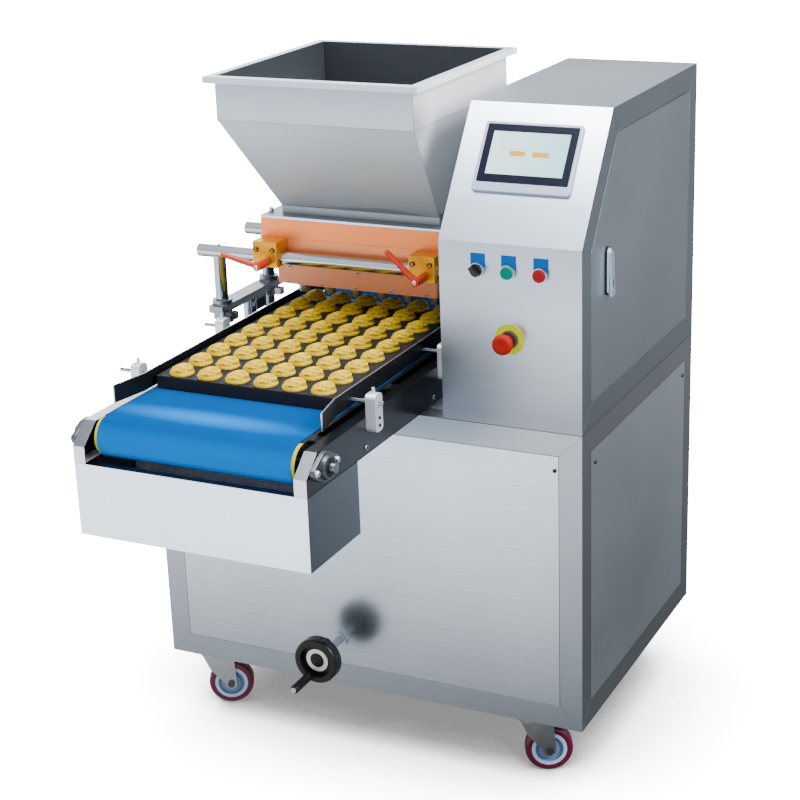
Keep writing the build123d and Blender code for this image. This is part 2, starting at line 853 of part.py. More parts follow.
motor_x = cabinet_left + cabinet_wall
with BuildPart() as conveyor_motor:
    block(
        (motor_x, motor_x + motor_length),
        grown((rear_roller_y, rear_roller_y), motor_side / 2),
        grown((rear_roller_z, rear_roller_z), min(motor_side / 2, rear_roller_z - cabinet_floor)),
    )
    motor_bore = roller_shaft_radius + shaft_clearance
    rod((motor_x, rear_roller_y, rear_roller_z), ALONG_X, motor_bore, motor_length / 2, mode=Mode.SUBTRACT)
save(conveyor_motor, "conveyor_motor")

# Conveyor side channels
for side, label in ((-1, "conveyor_left_plate"), (1, "conveyor_right_plate")):
    outer_x = lane_x + side * lane_half
    inner_x = outer_x - side * channel_flange
    web_x = outer_x - side * channel_wall
    with BuildPart() as channel:
        with BuildSketch(Plane.YZ.offset(min(outer_x, inner_x))):
            channel_outline(0)
        extrude(amount=channel_flange)
        with BuildSketch(Plane.YZ.offset(min(web_x, inner_x))):
            channel_outline(channel_wall)
        extrude(amount=channel_flange - channel_wall, mode=Mode.SUBTRACT)
        for roller_y, roller_z in ((front_roller_y, front_roller_z), (rear_roller_y, rear_roller_z)):
            hole_start = (min(outer_x, web_x), roller_y, roller_z)
            rod(hole_start, ALONG_X, web_hole_radius, channel_wall, mode=Mode.SUBTRACT)
    save(channel, label)

bed_top = belt_top - 2 * belt_layer - 2 * seat_gap
bed_low = bed_top - bed_thickness
bed_start = front_roller_y + front_roller_radius + bed_end_gap
bed_end = rear_roller_y - rear_roller_radius - bed_end_gap
web_inner = lane_half - channel_wall
with BuildPart() as slider_bed:
    block(grown((lane_x, lane_x), bed_half), (bed_start, bed_end), (bed_low, bed_top))
    bar_step = (bed_end - bed_start - crossbar_depth) / (crossbar_count - 1)
    for index in range(crossbar_count):
        bar_y = (bed_start + index * bar_step, bed_start + index * bar_step + crossbar_depth)
        bar_z = (deck_top + crossbar_low, deck_top + crossbar_high)
        block(grown((lane_x, lane_x), web_inner), bar_y, bar_z)
        block(grown((lane_x, lane_x), riser_half), bar_y, (bar_z[1], bed_low))
save(slider_bed, "slider_bed")

# Belt: blue cover over a wider under layer
with BuildPart() as conveyor_belt:
    for inner, half in ((running_gap, lining_half), (running_gap + belt_layer + seat_gap, belt_half)):
        with BuildSketch(Plane.YZ.offset(lane_x - half)) as loop_outside:
            belt_outline(inner + belt_layer)
        with BuildSketch(Plane.YZ.offset(lane_x - half)) as loop_inside:
            belt_outline(inner)
        extrude(loop_outside.sketch - loop_inside.sketch, amount=2 * half)
save(conveyor_belt, "conveyor_belt")

# Rollers with their shafts; the rear shaft runs on into the motor
shaft_half = lane_half + bearing_boss + front_shaft_end
motor_shaft = motor_x + motor_length / 2 - cut_margin - lane_x
roller_sizes = (
    ("front_roller", front_roller_y, front_roller_z, front_roller_radius, shaft_half),
    ("rear_roller", rear_roller_y, rear_roller_z, rear_roller_radius, motor_shaft),
)
for label, roller_y, roller_z, radius, shaft_right in roller_sizes:
    with BuildPart() as roller:
        rod((lane_x - lining_half, roller_y, roller_z), ALONG_X, radius, 2 * lining_half)
        shaft_start = (lane_x - shaft_half, roller_y, roller_z)
        rod(shaft_start, ALONG_X, roller_shaft_radius, shaft_half + shaft_right)
    save(roller, label)

with BuildPart() as roller_bearings:
    for side in (-1, 1):
        web_face = lane_x + side * lane_half
        for roller_y, roller_z in ((front_roller_y, front_roller_z), (rear_roller_y, rear_roller_z)):
            with BuildSketch(Plane.YZ.offset(web_face)) as flange_outline:
                with Locations((roller_y, roller_z)):
                    Circle(bearing_radius)
                for ear in (-1, 1):
                    with Locations((roller_y + ear * bearing_ear_offset, roller_z)):
                        Circle(bearing_ear_radius)
                make_hull()
            extrude(flange_outline.sketch, amount=side * bearing_flange)
            centre = (web_face, roller_y, roller_z)
            outward = (side, 0, 0)
            rod(centre, outward, bearing_boss_radius, bearing_boss)
            bore_radius = roller_shaft_radius + shaft_clearance
            rod(centre, outward, bore_radius, bearing_boss, mode=Mode.SUBTRACT)
save(roller_bearings, "roller_bearings")

# Open box under the front of the conveyor
drip_x = (lane_x - lane_half, lane_x + lane_half)
drip_y = (conveyor_front, conveyor_front + drip_depth)
drip_low = deck_top - drip_height
with BuildPart() as drip_box:
    block(drip_x, drip_y, (drip_low, deck_top))
    inner_x = grown(drip_x, -drip_wall)
    inner_y = grown(drip_y, -drip_wall)
    block(inner_x, inner_y, (drip_low + drip_wall, deck_top), mode=Mode.SUBTRACT)
    block(inner_x, (drip_y[0], drip_y[0] + drip_lip), (deck_top - drip_wall, deck_top))
save(drip_box, "drip_box")

# Guide rails on rods that slide through the side brackets
guide_rod_z = deck_top + guide_rod_rise
bracket_top = deck_top + bracket_high
bracket_ys = [front_face + row for row in (bracket_front_row, bracket_rear_row)]
with BuildPart() as guide_brackets:
    for side in (-1, 1):
        web_face = lane_x + side * lane_half
        far_face = web_face + side * bracket_thickness
        near_x = min(web_face, far_face)
        middle_x = (web_face + far_face) / 2
        for bracket_y in bracket_ys:
            with BuildSketch(Plane.YZ.offset(near_x)) as bracket_outline:
                with Locations((bracket_y, (deck_top + bracket_low + bracket_top) / 2)):
                    RectangleRounded(bracket_width, bracket_top - deck_top - bracket_low, bracket_round)
            extrude(bracket_outline.sketch, amount=bracket_thickness)
            bore_start = (near_x, bracket_y, guide_rod_z)
            bore_radius = guide_rod_radius + shaft_clearance
            rod(bore_start, ALONG_X, bore_radius, bracket_thickness, mode=Mode.SUBTRACT)
            screw_start = (middle_x, bracket_y, bracket_top - seat_gap)
            rod(screw_start, ALONG_Z, clamp_screw_radius, clamp_screw_height)
save(guide_brackets, "guide_brackets")

guide_y = (front_face + guide_front, front_face + guide_back)
guide_z = (deck_top + guide_low, deck_top + guide_high)
flare_y = guide_y[0] + guide_flare_length
guide_sides = (
    (-1, "left_guide", guide_rod_left_overhang),
    (1, "right_guide", guide_rod_right_overhang),
)
for side, label, overhang in guide_sides:
    near_x = lane_x + side * guide_inner
    far_x = near_x + side * guide_thickness
    flare = side * guide_flare
    rod_length = lane_half + bracket_thickness + overhang - guide_inner
    with BuildPart() as guide:
        with BuildSketch(Plane.XY.offset(guide_z[0])) as guide_outline:
            Polygon(
                (near_x + flare, guide_y[0]),
                (near_x, flare_y),
                (near_x, guide_y[1]),
                (far_x, guide_y[1]),
                (far_x, flare_y),
                (far_x + flare, guide_y[0]),
                align=None,
            )
        extrude(guide_outline.sketch, amount=guide_z[1] - guide_z[0], dir=ALONG_Z)
        for bracket_y in bracket_ys:
            rod((near_x, bracket_y, guide_rod_z), (side, 0, 0), guide_rod_radius, rod_length)
    save(guide, label)

# Baking tray and the batter portions on it
tray_x = grown((lane_x, lane_x), tray_width / 2)
tray_y = (front_face + tray_front, front_face + tray_front + tray_length)
tray_top = belt_top + tray_height
with BuildPart() as baking_tray:
    block(tray_x, tray_y, (belt_top, tray_top))
    pocket_y = grown(tray_y, -tray_wall)
    block(grown(tray_x, -tray_wall), pocket_y, (belt_top, tray_top - tray_wall), mode=Mode.SUBTRACT)
save(baking_tray, "baking_tray")

with BuildPart() as portion:
    with BuildSketch(Plane.XZ):
        with BuildLine():
            Polyline((0, portion_tip_height), (0, 0), (portion_radius - portion_undercut, 0))
            Spline(
                (portion_radius - portion_undercut, 0),
                (portion_radius, portion_bulge),
                (portion_shoulder, portion_height),
                (portion_tip_radius, portion_neck),
                (0, portion_tip_height),
            )
        make_face()
    revolve(axis=Axis.Z)
with BuildPart() as batter_portions:
    with Locations((lane_x, (tray_y[0] + tray_y[1]) / 2, tray_top)):
        with GridLocations(portion_pitch_x, portion_pitch_y, portion_columns, portion_rows):
            add(portion.part)
save(batter_portions, "batter_portions")

# Handwheel with its shaft and crank handle
wheel_front = front_face - handwheel_front
wheel_back = wheel_front + handwheel_thickness
crank_x = handwheel_x + crank_radius * cos(radians(crank_angle))
crank_z = handwheel_z + crank_radius * sin(radians(crank_angle))
grip_back = wheel_front - running_gap
grip_front = grip_back - crank_grip_length
with BuildPart() as handwheel:
    wheel_start = (handwheel_x, wheel_front, handwheel_z)
    rod(wheel_start, ALONG_Y, handwheel_radius, handwheel_thickness)
    fillet(faces().sort_by(Axis.Y)[0].edges(), handwheel_round)
    lug_start = (2 * handwheel_x - crank_x, wheel_front + wheel_lug_set_back, 2 * handwheel_z - crank_z)
    rod(lug_start, ALONG_Y, wheel_lug_radius, handwheel_thickness - wheel_lug_set_back)
    rod(wheel_start, ALONG_Y, handwheel_dish_radius, handwheel_dish, mode=Mode.SUBTRACT)
    pin_start = (crank_x, grip_front - running_gap, crank_z)
    pin_length = crank_grip_length + 2 * running_gap + handwheel_thickness / 2
    rod(pin_start, ALONG_Y, crank_pin_radius, pin_length)
    head_start = (crank_x, grip_front - running_gap - crank_head_thickness, crank_z)
    rod(head_start, ALONG_Y, crank_head_radius, crank_head_thickness)
    hub_start = (handwheel_x, wheel_front + handwheel_dish - hub_ring_height, handwheel_z)
    ring_length = hub_ring_height - seat_gap
    rod(hub_start, ALONG_Y, hub_ring_outer, ring_length)
    rod(hub_start, ALONG_Y, hub_ring_inner, ring_length, mode=Mode.SUBTRACT)
    rod(hub_start, ALONG_Y, hub_ring_inner - seat_gap, ring_length)
save(handwheel, "handwheel")

with BuildPart() as handwheel_shaft:
    shaft_end = head_y + jack_half - cut_margin
    rod((handwheel_x, wheel_back, handwheel_z), ALONG_Y, wheel_shaft_radius, shaft_end - wheel_back)
save(handwheel_shaft, "handwheel_shaft")

with BuildPart() as handwheel_handle:
    grip_start = (crank_x, grip_front, crank_z)
    rod(grip_start, ALONG_Y, crank_grip_radius, crank_grip_length)
    fillet(edges().filter_by(GeomType.CIRCLE), crank_grip_round)
    rod(grip_start, ALONG_Y, crank_pin_radius + shaft_clearance, crank_grip_length, mode=Mode.SUBTRACT)
save(handwheel_handle, "handwheel_handle")

# Hopper: straight walls, taper, throat and a folded rim
rim_top = deck_top + rim_rise
straight_z = deck_top + straight_rise
taper_z = deck_top + taper_rise
flange_z = deck_top + flange_rise
hopper_middle = (lane_x, head_y)
with BuildPart() as hopper:
    for shrink, mode in ((0, Mode.ADD), (hopper_wall, Mode.SUBTRACT)):
        upper = (2 * (hopper_half_width - shrink), 2 * (hopper_half_depth - shrink))
        lower = (2 * (throat_half_width - shrink), 2 * (throat_half_depth - shrink))
        with BuildSketch(Plane.XY.offset(straight_z)) as straight_foot:
            with Locations(hopper_middle):
                Rectangle(*upper)
        extrude(straight_foot.sketch, amount=rim_top - straight_z, mode=mode)
        with BuildSketch(Plane.XY.offset(taper_z)) as taper_foot:
            with Locations(hopper_middle):
                Rectangle(*lower)
        loft([taper_foot.sketch, straight_foot.sketch], ruled=True, mode=mode)
        with BuildSketch(Plane.XY.offset(flange_z)) as throat_foot:
            with Locations(hopper_middle):
                Rectangle(*lower)
        extrude(throat_foot.sketch, amount=taper_z - flange_z, mode=mode)
    with BuildSketch(Plane.XY.offset(rim_top)) as rim_outline:
        with Locations(hopper_middle):
            Rectangle(2 * (hopper_half_width + lip_width), 2 * (hopper_half_depth + lip_width))
            Rectangle(*upper, mode=Mode.SUBTRACT)
    extrude(rim_outline.sketch, amount=-lip_height)
    with BuildSketch(Plane.XY.offset(rim_top - lip_height)) as rim_hollow:
        with Locations(hopper_middle):
            rim_inner = lip_width - hopper_wall
            Rectangle(2 * (hopper_half_width + rim_inner), 2 * (hopper_half_depth + rim_inner))
            Rectangle(2 * hopper_half_width, 2 * hopper_half_depth, mode=Mode.SUBTRACT)
    extrude(rim_hollow.sketch, amount=lip_height - hopper_wall, mode=Mode.SUBTRACT)
save(hopper, "hopper")

# Plates of the head below the hopper
head_x = grown((lane_x, lane_x), head_half_width)
head_depth = grown((head_y, head_y), head_half_depth)
slot_x = grown((lane_x, lane_x), throat_half_width - 2 * hopper_wall)
slot_y = grown((head_y, head_y), throat_half_depth - 2 * hopper_wall)
block_top = flange_z - flange_thickness
block_low = deck_top + valve_block_low
manifold_z = deck_top + manifold_low
ear_z = deck_top + ear_low
with BuildPart() as hopper_flange:
    block(head_x, head_depth, (block_top, flange_z))
    block(slot_x, slot_y, (block_top, flange_z), mode=Mode.SUBTRACT)
save(hopper_flange, "hopper_flange")

with BuildPart() as valve_block:
    block(head_x, head_depth, (block_low, block_top))
    block(slot_x, slot_y, (block_low, block_top), mode=Mode.SUBTRACT)
save(valve_block, "valve_block")

spool_left = lane_x - manifold_half_width + spool_end_wall
spool_right = lane_x + manifold_half_width
head_back = head_y + head_half_depth
with BuildPart() as nozzle_manifold:
    block(grown((lane_x, lane_x), manifold_half_width), head_depth, (manifold_z, block_low))
    block(head_x, head_depth, (ear_z, block_low))
    bore_start = (spool_left, spool_y, spool_z)
    bore_radius = spool_radius + shaft_clearance
    rod(bore_start, ALONG_X, bore_radius, spool_right - spool_left, mode=Mode.SUBTRACT)
    for column_x in column_xs:
        port_start = (column_x, spool_y, spool_z)
        rod(port_start, ALONG_Z, feed_bore_radius, block_low - spool_z, mode=Mode.SUBTRACT)
        nozzle_start = (column_x, spool_y, manifold_z)
        rod(nozzle_start, ALONG_Z, nozzle_bore_radius, spool_z - manifold_z, mode=Mode.SUBTRACT)
        piston_bore = piston_radius + shaft_clearance
        rod(port_start, ALONG_Y, piston_bore, head_back - spool_y, mode=Mode.SUBTRACT)
save(nozzle_manifold, "nozzle_manifold")

nozzle_length = manifold_low - nozzle_low
with BuildPart() as nozzles:
    for column_x in column_xs:
        with Locations((column_x, spool_y, deck_top + nozzle_low)):
            Cone(nozzle_tip_radius, nozzle_top_radius, nozzle_length, align=FOOT)
        nozzle_start = (column_x, spool_y, deck_top + nozzle_low)
        rod(nozzle_start, ALONG_Z, nozzle_bore_radius, nozzle_length, mode=Mode.SUBTRACT)
save(nozzles, "nozzles")

# Rotary valve: at rest each port joins the hopper feed to its piston bore
spool_start = spool_left + running_gap
actuator_end = spool_right + actuator_length
with BuildPart() as valve_spool:
    rod((spool_start, spool_y, spool_z), ALONG_X, spool_radius, spool_right - running_gap - spool_start)
    shaft_end = actuator_end - cut_margin
    rod((spool_start, spool_y, spool_z), ALONG_X, spool_shaft_radius, shaft_end - spool_start)
    for column_x in column_xs:
        for port_direction in (ALONG_Y, ALONG_Z):
            port_start = (column_x, spool_y, spool_z)
            rod(port_start, port_direction, spool_port_radius, spool_radius, mode=Mode.SUBTRACT)
save(valve_spool, "valve_spool")

with BuildPart() as valve_actuator:
    block(
        (spool_right, actuator_end),
        grown((spool_y, spool_y), actuator_side / 2),
        (spool_z - actuator_side / 2, ear_z),
    )
    bore_radius = spool_shaft_radius + shaft_clearance
    bore_start = (spool_right, spool_y, spool_z)
    rod(bore_start, ALONG_X, bore_radius, actuator_length - cut_margin / 2, mode=Mode.SUBTRACT)
save(valve_actuator, "valve_actuator")

# Dosing pistons on one bar, and the cylinder that drives them
piston_y = spool_y + spool_radius + piston_gap
bar_y = head_back + piston_bar_from_back
bar_back = bar_y + piston_bar_depth
plate_y = bar_back + piston_stroke + ram_clearance
plate_back = plate_y + ram_plate_thickness
with BuildPart() as piston_set:
    for column_x in column_xs:
        rod((column_x, piston_y, spool_z), ALONG_Y, piston_radius, piston_length)
        rod((column_x, piston_y, spool_z), ALONG_Y, piston_rod_radius, bar_back - piston_y)
    block(
        grown((lane_x, lane_x), manifold_half_width),
        (bar_y, bar_back),
        grown((spool_z, spool_z), piston_bar_height / 2),
    )
    rod((lane_x, bar_y, spool_z), ALONG_Y, ram_rod_radius, plate_y + ram_rod_depth - bar_y)
save(piston_set, "piston_set")

arm_z = deck_top + ram_arm_low
with BuildPart() as piston_cylinder:
    ram_x = grown((lane_x, lane_x), ram_plate_half_width)
    block(ram_x, (head_back, plate_back), (arm_z, arm_z + ram_arm_thickness))
    block(ram_x, (plate_y, plate_back), (spool_z - ram_radius, arm_z))
    rod((lane_x, plate_back, spool_z), ALONG_Y, ram_radius, ram_length)
    bore_length = ram_plate_thickness + ram_length - cut_margin
    bore_radius = ram_rod_radius + shaft_clearance
    rod((lane_x, plate_y, spool_z), ALONG_Y, bore_radius, bore_length, mode=Mode.SUBTRACT)
save(piston_cylinder, "piston_cylinder")

# Support rods and the clamp blocks that hold the head on them
rod_left_x = left_face + rod_left_inset
rod_right_x = cabinet_left + rod_cabinet_reach
with BuildPart() as support_rods:
    for row_y in rod_rows:
        rod((rod_left_x, row_y, rod_z), ALONG_X, rod_radius, rod_right_x - rod_left_x)
save(support_rods, "support_rods")

clamp_z = (deck_top + clamp_low, deck_top + clamp_high)
clamp_rows = ((clamp_front_y, clamp_front_y + clamp_depth), (head_back, head_back + clamp_depth))
with BuildPart() as clamp_blocks:
    for clamp_x in clamp_spans.values():
        for clamp_y in clamp_rows:
            block(clamp_x, clamp_y, clamp_z)
    fillet(edges().filter_by(Axis.Z), clamp_round)
    for clamp_x in clamp_spans.values():
        for row_y in rod_rows:
            bore_start = (clamp_x[0], row_y, rod_z)
            bore_radius = rod_radius + shaft_clearance
            rod(bore_start, ALONG_X, bore_radius, clamp_width, mode=Mode.SUBTRACT)
    for lever_x in lever_xs.values():
        hole_start = (lever_x, clamp_front_y, lever_z)
        hole_radius = lever_stud_radius + shaft_clearance
        rod(hole_start, ALONG_Y, hole_radius, lever_stud_depth + running_gap, mode=Mode.SUBTRACT)
save(clamp_blocks, "clamp_blocks")

for side, rise in lever_rises.items():
    hub_back = clamp_front_y - lever_stud_show
    hub_front = hub_back - lever_hub_length
    lever_x = lever_xs[side]
    flat = cos(radians(lever_lean))
    lever_direction = (-flat * cos(radians(rise)), -sin(radians(lever_lean)), flat * sin(radians(rise)))
    arm_start = Vector(lever_x, hub_front + lever_hub_radius, lever_z)
    with BuildPart() as lever:
        rod((lever_x, hub_front, lever_z), ALONG_Y, lever_hub_radius, lever_hub_length)
        stud_length = lever_hub_length + lever_stud_show + lever_stud_depth
        rod((lever_x, hub_front, lever_z), ALONG_Y, lever_stud_radius, stud_length)
        with Locations(Plane(origin=arm_start, z_dir=lever_direction)):
            Cone(lever_root_radius, lever_tip_radius, lever_length, align=FOOT)
        with Locations(arm_start + Vector(*lever_direction) * lever_length):
            Sphere(lever_tip_radius)
    save(lever, f"{side}_lever")

# Lift: posts under the rods, arms, columns, crosshead and the screw jack
arm_z = (deck_top + arm_low, deck_top + arm_high)
socket_z = (arm_z[0] + arm_z[1]) / 2
crosshead_z = (base_bottom + crosshead_low, base_bottom + crosshead_high)
with BuildPart() as lift_posts:
    for post_x in (post_left_x, post_right_x):
        for row_y in rod_rows:
            post_length = rod_z - rod_radius / 2 - socket_z
            rod((post_x, row_y, socket_z), ALONG_Z, rod_radius, post_length)
            saddle_start = (post_x - 2 * rod_radius, row_y, rod_z)
            saddle_radius = rod_radius + seat_gap
            rod(saddle_start, ALONG_X, saddle_radius, 4 * rod_radius, mode=Mode.SUBTRACT)
    for column_x in (column_left_x, post_right_x):
        rod((column_x, head_y, crosshead_z[1]), ALONG_Z, column_radius, arm_z[0] - crosshead_z[1])
    for row_y in rod_rows:
        rod((post_left_x, row_y, stud_low), ALONG_Z, stud_radius, arm_z[0] - stud_low)
save(lift_posts, "lift_posts")

with BuildPart() as lift_arms:
    for post_x in (post_left_x, post_right_x):
        arm_y = (rod_rows[0] - arm_overhang, rod_rows[1] + arm_overhang)
        block(grown((post_x, post_x), arm_half_width), arm_y, arm_z)
    fillet(edges().filter_by(Axis.Z), arm_round)
    for post_x in (post_left_x, post_right_x):
        for row_y in rod_rows:
            rod((post_x, row_y, arm_z[1]), ALONG_Z, collar_radius, collar_high - arm_high)
            socket_start = (post_x, row_y, socket_z)
            socket_radius = rod_radius + seat_gap
            socket_length = deck_top + collar_high - socket_z
            rod(socket_start, ALONG_Z, socket_radius, socket_length, mode=Mode.SUBTRACT)
save(lift_arms, "lift_arms")

with BuildPart() as lift_crosshead:
    block(
        (column_left_x - crosshead_overhang, post_right_x + crosshead_overhang),
        grown((head_y, head_y), crosshead_half_depth),
        crosshead_z,
    )
    screw_low = base_bottom + screw_bottom
    rod((screw_x, head_y, screw_low), ALONG_Z, screw_radius, crosshead_z[0] - screw_low)
save(lift_crosshead, "lift_crosshead")

jack_floor = base_bottom + frame_wall + panel_lip_thickness
with BuildPart() as lift_jack:
    block(
        (handwheel_x - jack_half, screw_x + jack_half),
        grown((head_y, head_y), jack_half),
        (jack_floor, base_bottom + jack_height),
    )
    bore_start = (handwheel_x, head_y - jack_half, handwheel_z)
    bore_radius = wheel_shaft_radius + shaft_clearance
    rod(bore_start, ALONG_Y, bore_radius, 2 * jack_half - cut_margin / 2, mode=Mode.SUBTRACT)
    bore_start = (screw_x, head_y, screw_low - cut_margin)
    bore_radius = screw_radius + shaft_clearance
    bore_length = base_bottom + jack_height - bore_start[2]
    rod(bore_start, ALONG_Z, bore_radius, bore_length, mode=Mode.SUBTRACT)
save(lift_jack, "lift_jack")
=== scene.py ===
import json
import math

import bmesh
import bpy
from mathutils import Matrix, Vector, noise


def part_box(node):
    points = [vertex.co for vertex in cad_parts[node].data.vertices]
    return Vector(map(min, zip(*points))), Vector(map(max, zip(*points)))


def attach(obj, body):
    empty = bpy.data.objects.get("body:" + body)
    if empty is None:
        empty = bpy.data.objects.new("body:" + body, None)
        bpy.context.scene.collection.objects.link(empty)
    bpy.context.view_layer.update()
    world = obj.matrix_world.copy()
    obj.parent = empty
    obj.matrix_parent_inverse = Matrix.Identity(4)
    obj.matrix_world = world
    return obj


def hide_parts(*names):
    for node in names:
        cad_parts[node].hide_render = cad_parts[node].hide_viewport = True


# The frame: CAD nodes, their bodies and their material slots
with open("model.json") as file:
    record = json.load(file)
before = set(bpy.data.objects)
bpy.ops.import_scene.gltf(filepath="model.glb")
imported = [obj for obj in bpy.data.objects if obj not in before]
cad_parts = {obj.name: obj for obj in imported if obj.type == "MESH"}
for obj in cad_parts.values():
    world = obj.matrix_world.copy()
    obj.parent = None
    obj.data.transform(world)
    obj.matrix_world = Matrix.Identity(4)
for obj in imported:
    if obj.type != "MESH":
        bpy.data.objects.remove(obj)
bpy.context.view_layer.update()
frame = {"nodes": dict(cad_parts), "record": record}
cad = frame["nodes"]
record = frame["record"]
body_of = {node: body for body, members in record["behaviour"]["bodies"].items() for node in members}
slot_of = {entry["node"]: entry["material_slot"] for entry in record["subparts"]}

MM = 0.001
RIGHT, BACK, UP = Vector((1, 0, 0)), Vector((0, 1, 0)), Vector((0, 0, 1))
LEFT, FRONT, DOWN = -RIGHT, -BACK, -UP

# Faces that the pieces are placed from, read from the frame
base_low, base_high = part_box("base_frame")
console_low, console_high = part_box("cabinet_shell")
belt_low, belt_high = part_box("conveyor_belt")
flange_low, flange_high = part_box("hopper_flange")
clamp_low, clamp_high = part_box("clamp_blocks")
lane_x = (belt_low.x + belt_high.x) / 2
head_y = (flange_low.y + flange_high.y) / 2
right_face = base_high.x
front_face = base_low.y
deck_top = base_high.z
frame_border = 48 * MM
SQUARE_ON = 0.9

# Camera of the photograph
camera_place = Vector((1.627, -3.2105, 2.017))
camera_yaw, camera_pitch, camera_roll = 26.45, 19.46, -2.06
camera_lens, camera_sensor, camera_far = 82.85, 36, 200


# Shader nodes and groups shared by the finishes
def feed(tree, socket, value):
    """Link an input to another socket, or set a plain value on it."""
    if isinstance(value, bpy.types.NodeSocket):
        tree.links.new(value, socket)
    else:
        socket.default_value = value


def linked(tree, *pairs):
    """Join sockets in a tree, two by two."""
    for source, target in pairs:
        tree.links.new(source, target)


def shader_group(name, inputs, outputs):
    """Empty shader group with named sockets; gives the tree and its input and output nodes."""
    tree = bpy.data.node_groups.new(name, "ShaderNodeTree")
    for label, kind, value in inputs:
        socket = tree.interface.new_socket(label, in_out="INPUT", socket_type="NodeSocket" + kind)
        socket.default_value = value
    for label, kind in outputs:
        tree.interface.new_socket(label, in_out="OUTPUT", socket_type="NodeSocket" + kind)
    return tree, tree.nodes.new("NodeGroupInput"), tree.nodes.new("NodeGroupOutput")


def math_node(tree, operation, first, second, clamp=False):
    """Math node fed by sockets or plain numbers; gives its output socket."""
    node = tree.nodes.new("ShaderNodeMath")
    node.operation = operation
    node.use_clamp = clamp
    feed(tree, node.inputs[0], first)
    feed(tree, node.inputs[1], second)
    return node.outputs[0]


def vector_node(tree, operation, first, second=None):
    """Vector math node fed by sockets or plain vectors; gives its output sockets."""
    node = tree.nodes.new("ShaderNodeVectorMath")
    node.operation = operation
    feed(tree, node.inputs[0], first)
    if second is not None:
        feed(tree, node.inputs[1], second)
    return node.outputs


def noise_node(tree, vector, scale, detail, roughness=0.5):
    """Noise texture on a vector socket; gives its factor socket."""
    node = tree.nodes.new("ShaderNodeTexNoise")
    for label, value in (("Vector", vector), ("Scale", scale), ("Detail", detail),
                         ("Roughness", roughness)):
        feed(tree, node.inputs[label], value)
    return node.outputs["Fac"]


def mapped(tree, value, low, high, first, last, kind="LINEAR"):
    """Number socket carried from one span to another; gives the socket."""
    node = tree.nodes.new("ShaderNodeMapRange")
    node.interpolation_type = kind
    tree.links.new(value, node.inputs["Value"])
    for label, number in (("From Min", low), ("From Max", high), ("To Min", first), ("To Max", last)):
        node.inputs[label].default_value = number
    return node.outputs["Result"]


def mixed(tree, first, second, share, blend="MIX"):
    """Two colours, sockets or plain ones, mixed by a share; gives the socket."""
    node = tree.nodes.new("ShaderNodeMix")
    node.data_type = "RGBA"
    node.blend_type = blend
    for label, value in (("A", first), ("B", second), ("Factor", share)):
        feed(tree, node.inputs[label], value)
    return node.outputs["Result"]


def object_place(tree):
    """Place in the piece's own space; gives the socket."""
    return tree.nodes.new("ShaderNodeTexCoord").outputs["Object"]


def object_axis(tree, axis):
    """One coordinate of the place in the piece's own space; gives the socket."""
    place = tree.nodes.new("ShaderNodeSeparateXYZ")
    tree.links.new(object_place(tree), place.inputs[0])
    return place.outputs[axis]


def opaque(colour):
    """Colour with full alpha."""
    return (*colour, 1)


def grey(value, cool=0.0):
    """Grey that leans to blue by a share of its value."""
    return (value, value * (1 + 0.45 * cool), value * (1 + cool))


def worked_surface_group():
    """Grain stretched along a direction, clouding and fine speckle for any worked surface."""
    tree, given, result = shader_group(
        "worked_surface",
        [("Grain", "Vector", (3, 3, 260)), ("Cloud", "Float", 4.0), ("Speckle", "Float", 900.0),
         ("Smooth", "Float", 0.25), ("Rough", "Float", 0.4)],
        [("Shade", "Float"), ("Roughness", "Float"), ("Height", "Float")],
    )
    place = object_place(tree)
    stretched = vector_node(tree, "MULTIPLY", place, given.outputs["Grain"])["Vector"]
    grain = noise_node(tree, stretched, 1.0, 5.0, 0.6)
    cloud = noise_node(tree, place, given.outputs["Cloud"], 3.0)
    speckle = noise_node(tree, place, given.outputs["Speckle"], 1.0)
    worn = math_node(tree, "ADD", math_node(tree, "MULTIPLY", cloud, 0.65),
                     math_node(tree, "MULTIPLY", grain, 0.35), clamp=True)
    span = math_node(tree, "SUBTRACT", given.outputs["Rough"], given.outputs["Smooth"])
    rough = math_node(tree, "ADD", given.outputs["Smooth"], math_node(tree, "MULTIPLY", worn, span))
    height = math_node(tree, "ADD", math_node(tree, "MULTIPLY", grain, 0.7),
                       math_node(tree, "MULTIPLY", speckle, 0.3))
    linked(tree, (worn, result.inputs["Shade"]), (rough, result.inputs["Roughness"]),
           (height, result.inputs["Height"]))
    return tree


WORKED = worked_surface_group()
RELIEF_DEPTH = 0.5 * MM


def height_share(tree, full, none):
    """One at and below a height, nothing above another; gives the socket."""
    return mapped(tree, object_axis(tree, "Z"), full, none, 1.0, 0.0)


def spot_share(tree, centre, reach):
    """One in the middle of a soft oval spot of painted light and shade, nothing outside it; gives the
    socket.
    """
    arm = vector_node(tree, "SUBTRACT", object_place(tree), centre)["Vector"]
    arm = vector_node(tree, "DIVIDE", arm, reach)["Vector"]
    return mapped(tree, vector_node(tree, "LENGTH", arm)["Value"], 0.0, 1.0, 1.0, 0.0, "SMOOTHSTEP")


def height_shaded(tree, colour, bands):
    """Colour socket times a painted shade factor that runs through given heights; gives the socket."""
    bottom, top = bands[0][0], bands[-1][0]
    ramp = tree.nodes.new("ShaderNodeValToRGB")
    stops = ramp.color_ramp.elements
    stops[0].color = opaque(grey(bands[0][1]))
    stops[1].color = opaque(grey(bands[-1][1]))
    for height, factor in bands[1:-1]:
        stops.new((height - bottom) / (top - bottom)).color = opaque(grey(factor))
    tree.links.new(mapped(tree, object_axis(tree, "Z"), bottom, top, 0.0, 1.0), ramp.inputs["Fac"])
    return mixed(tree, colour, ramp.outputs["Color"], 1.0, "MULTIPLY")


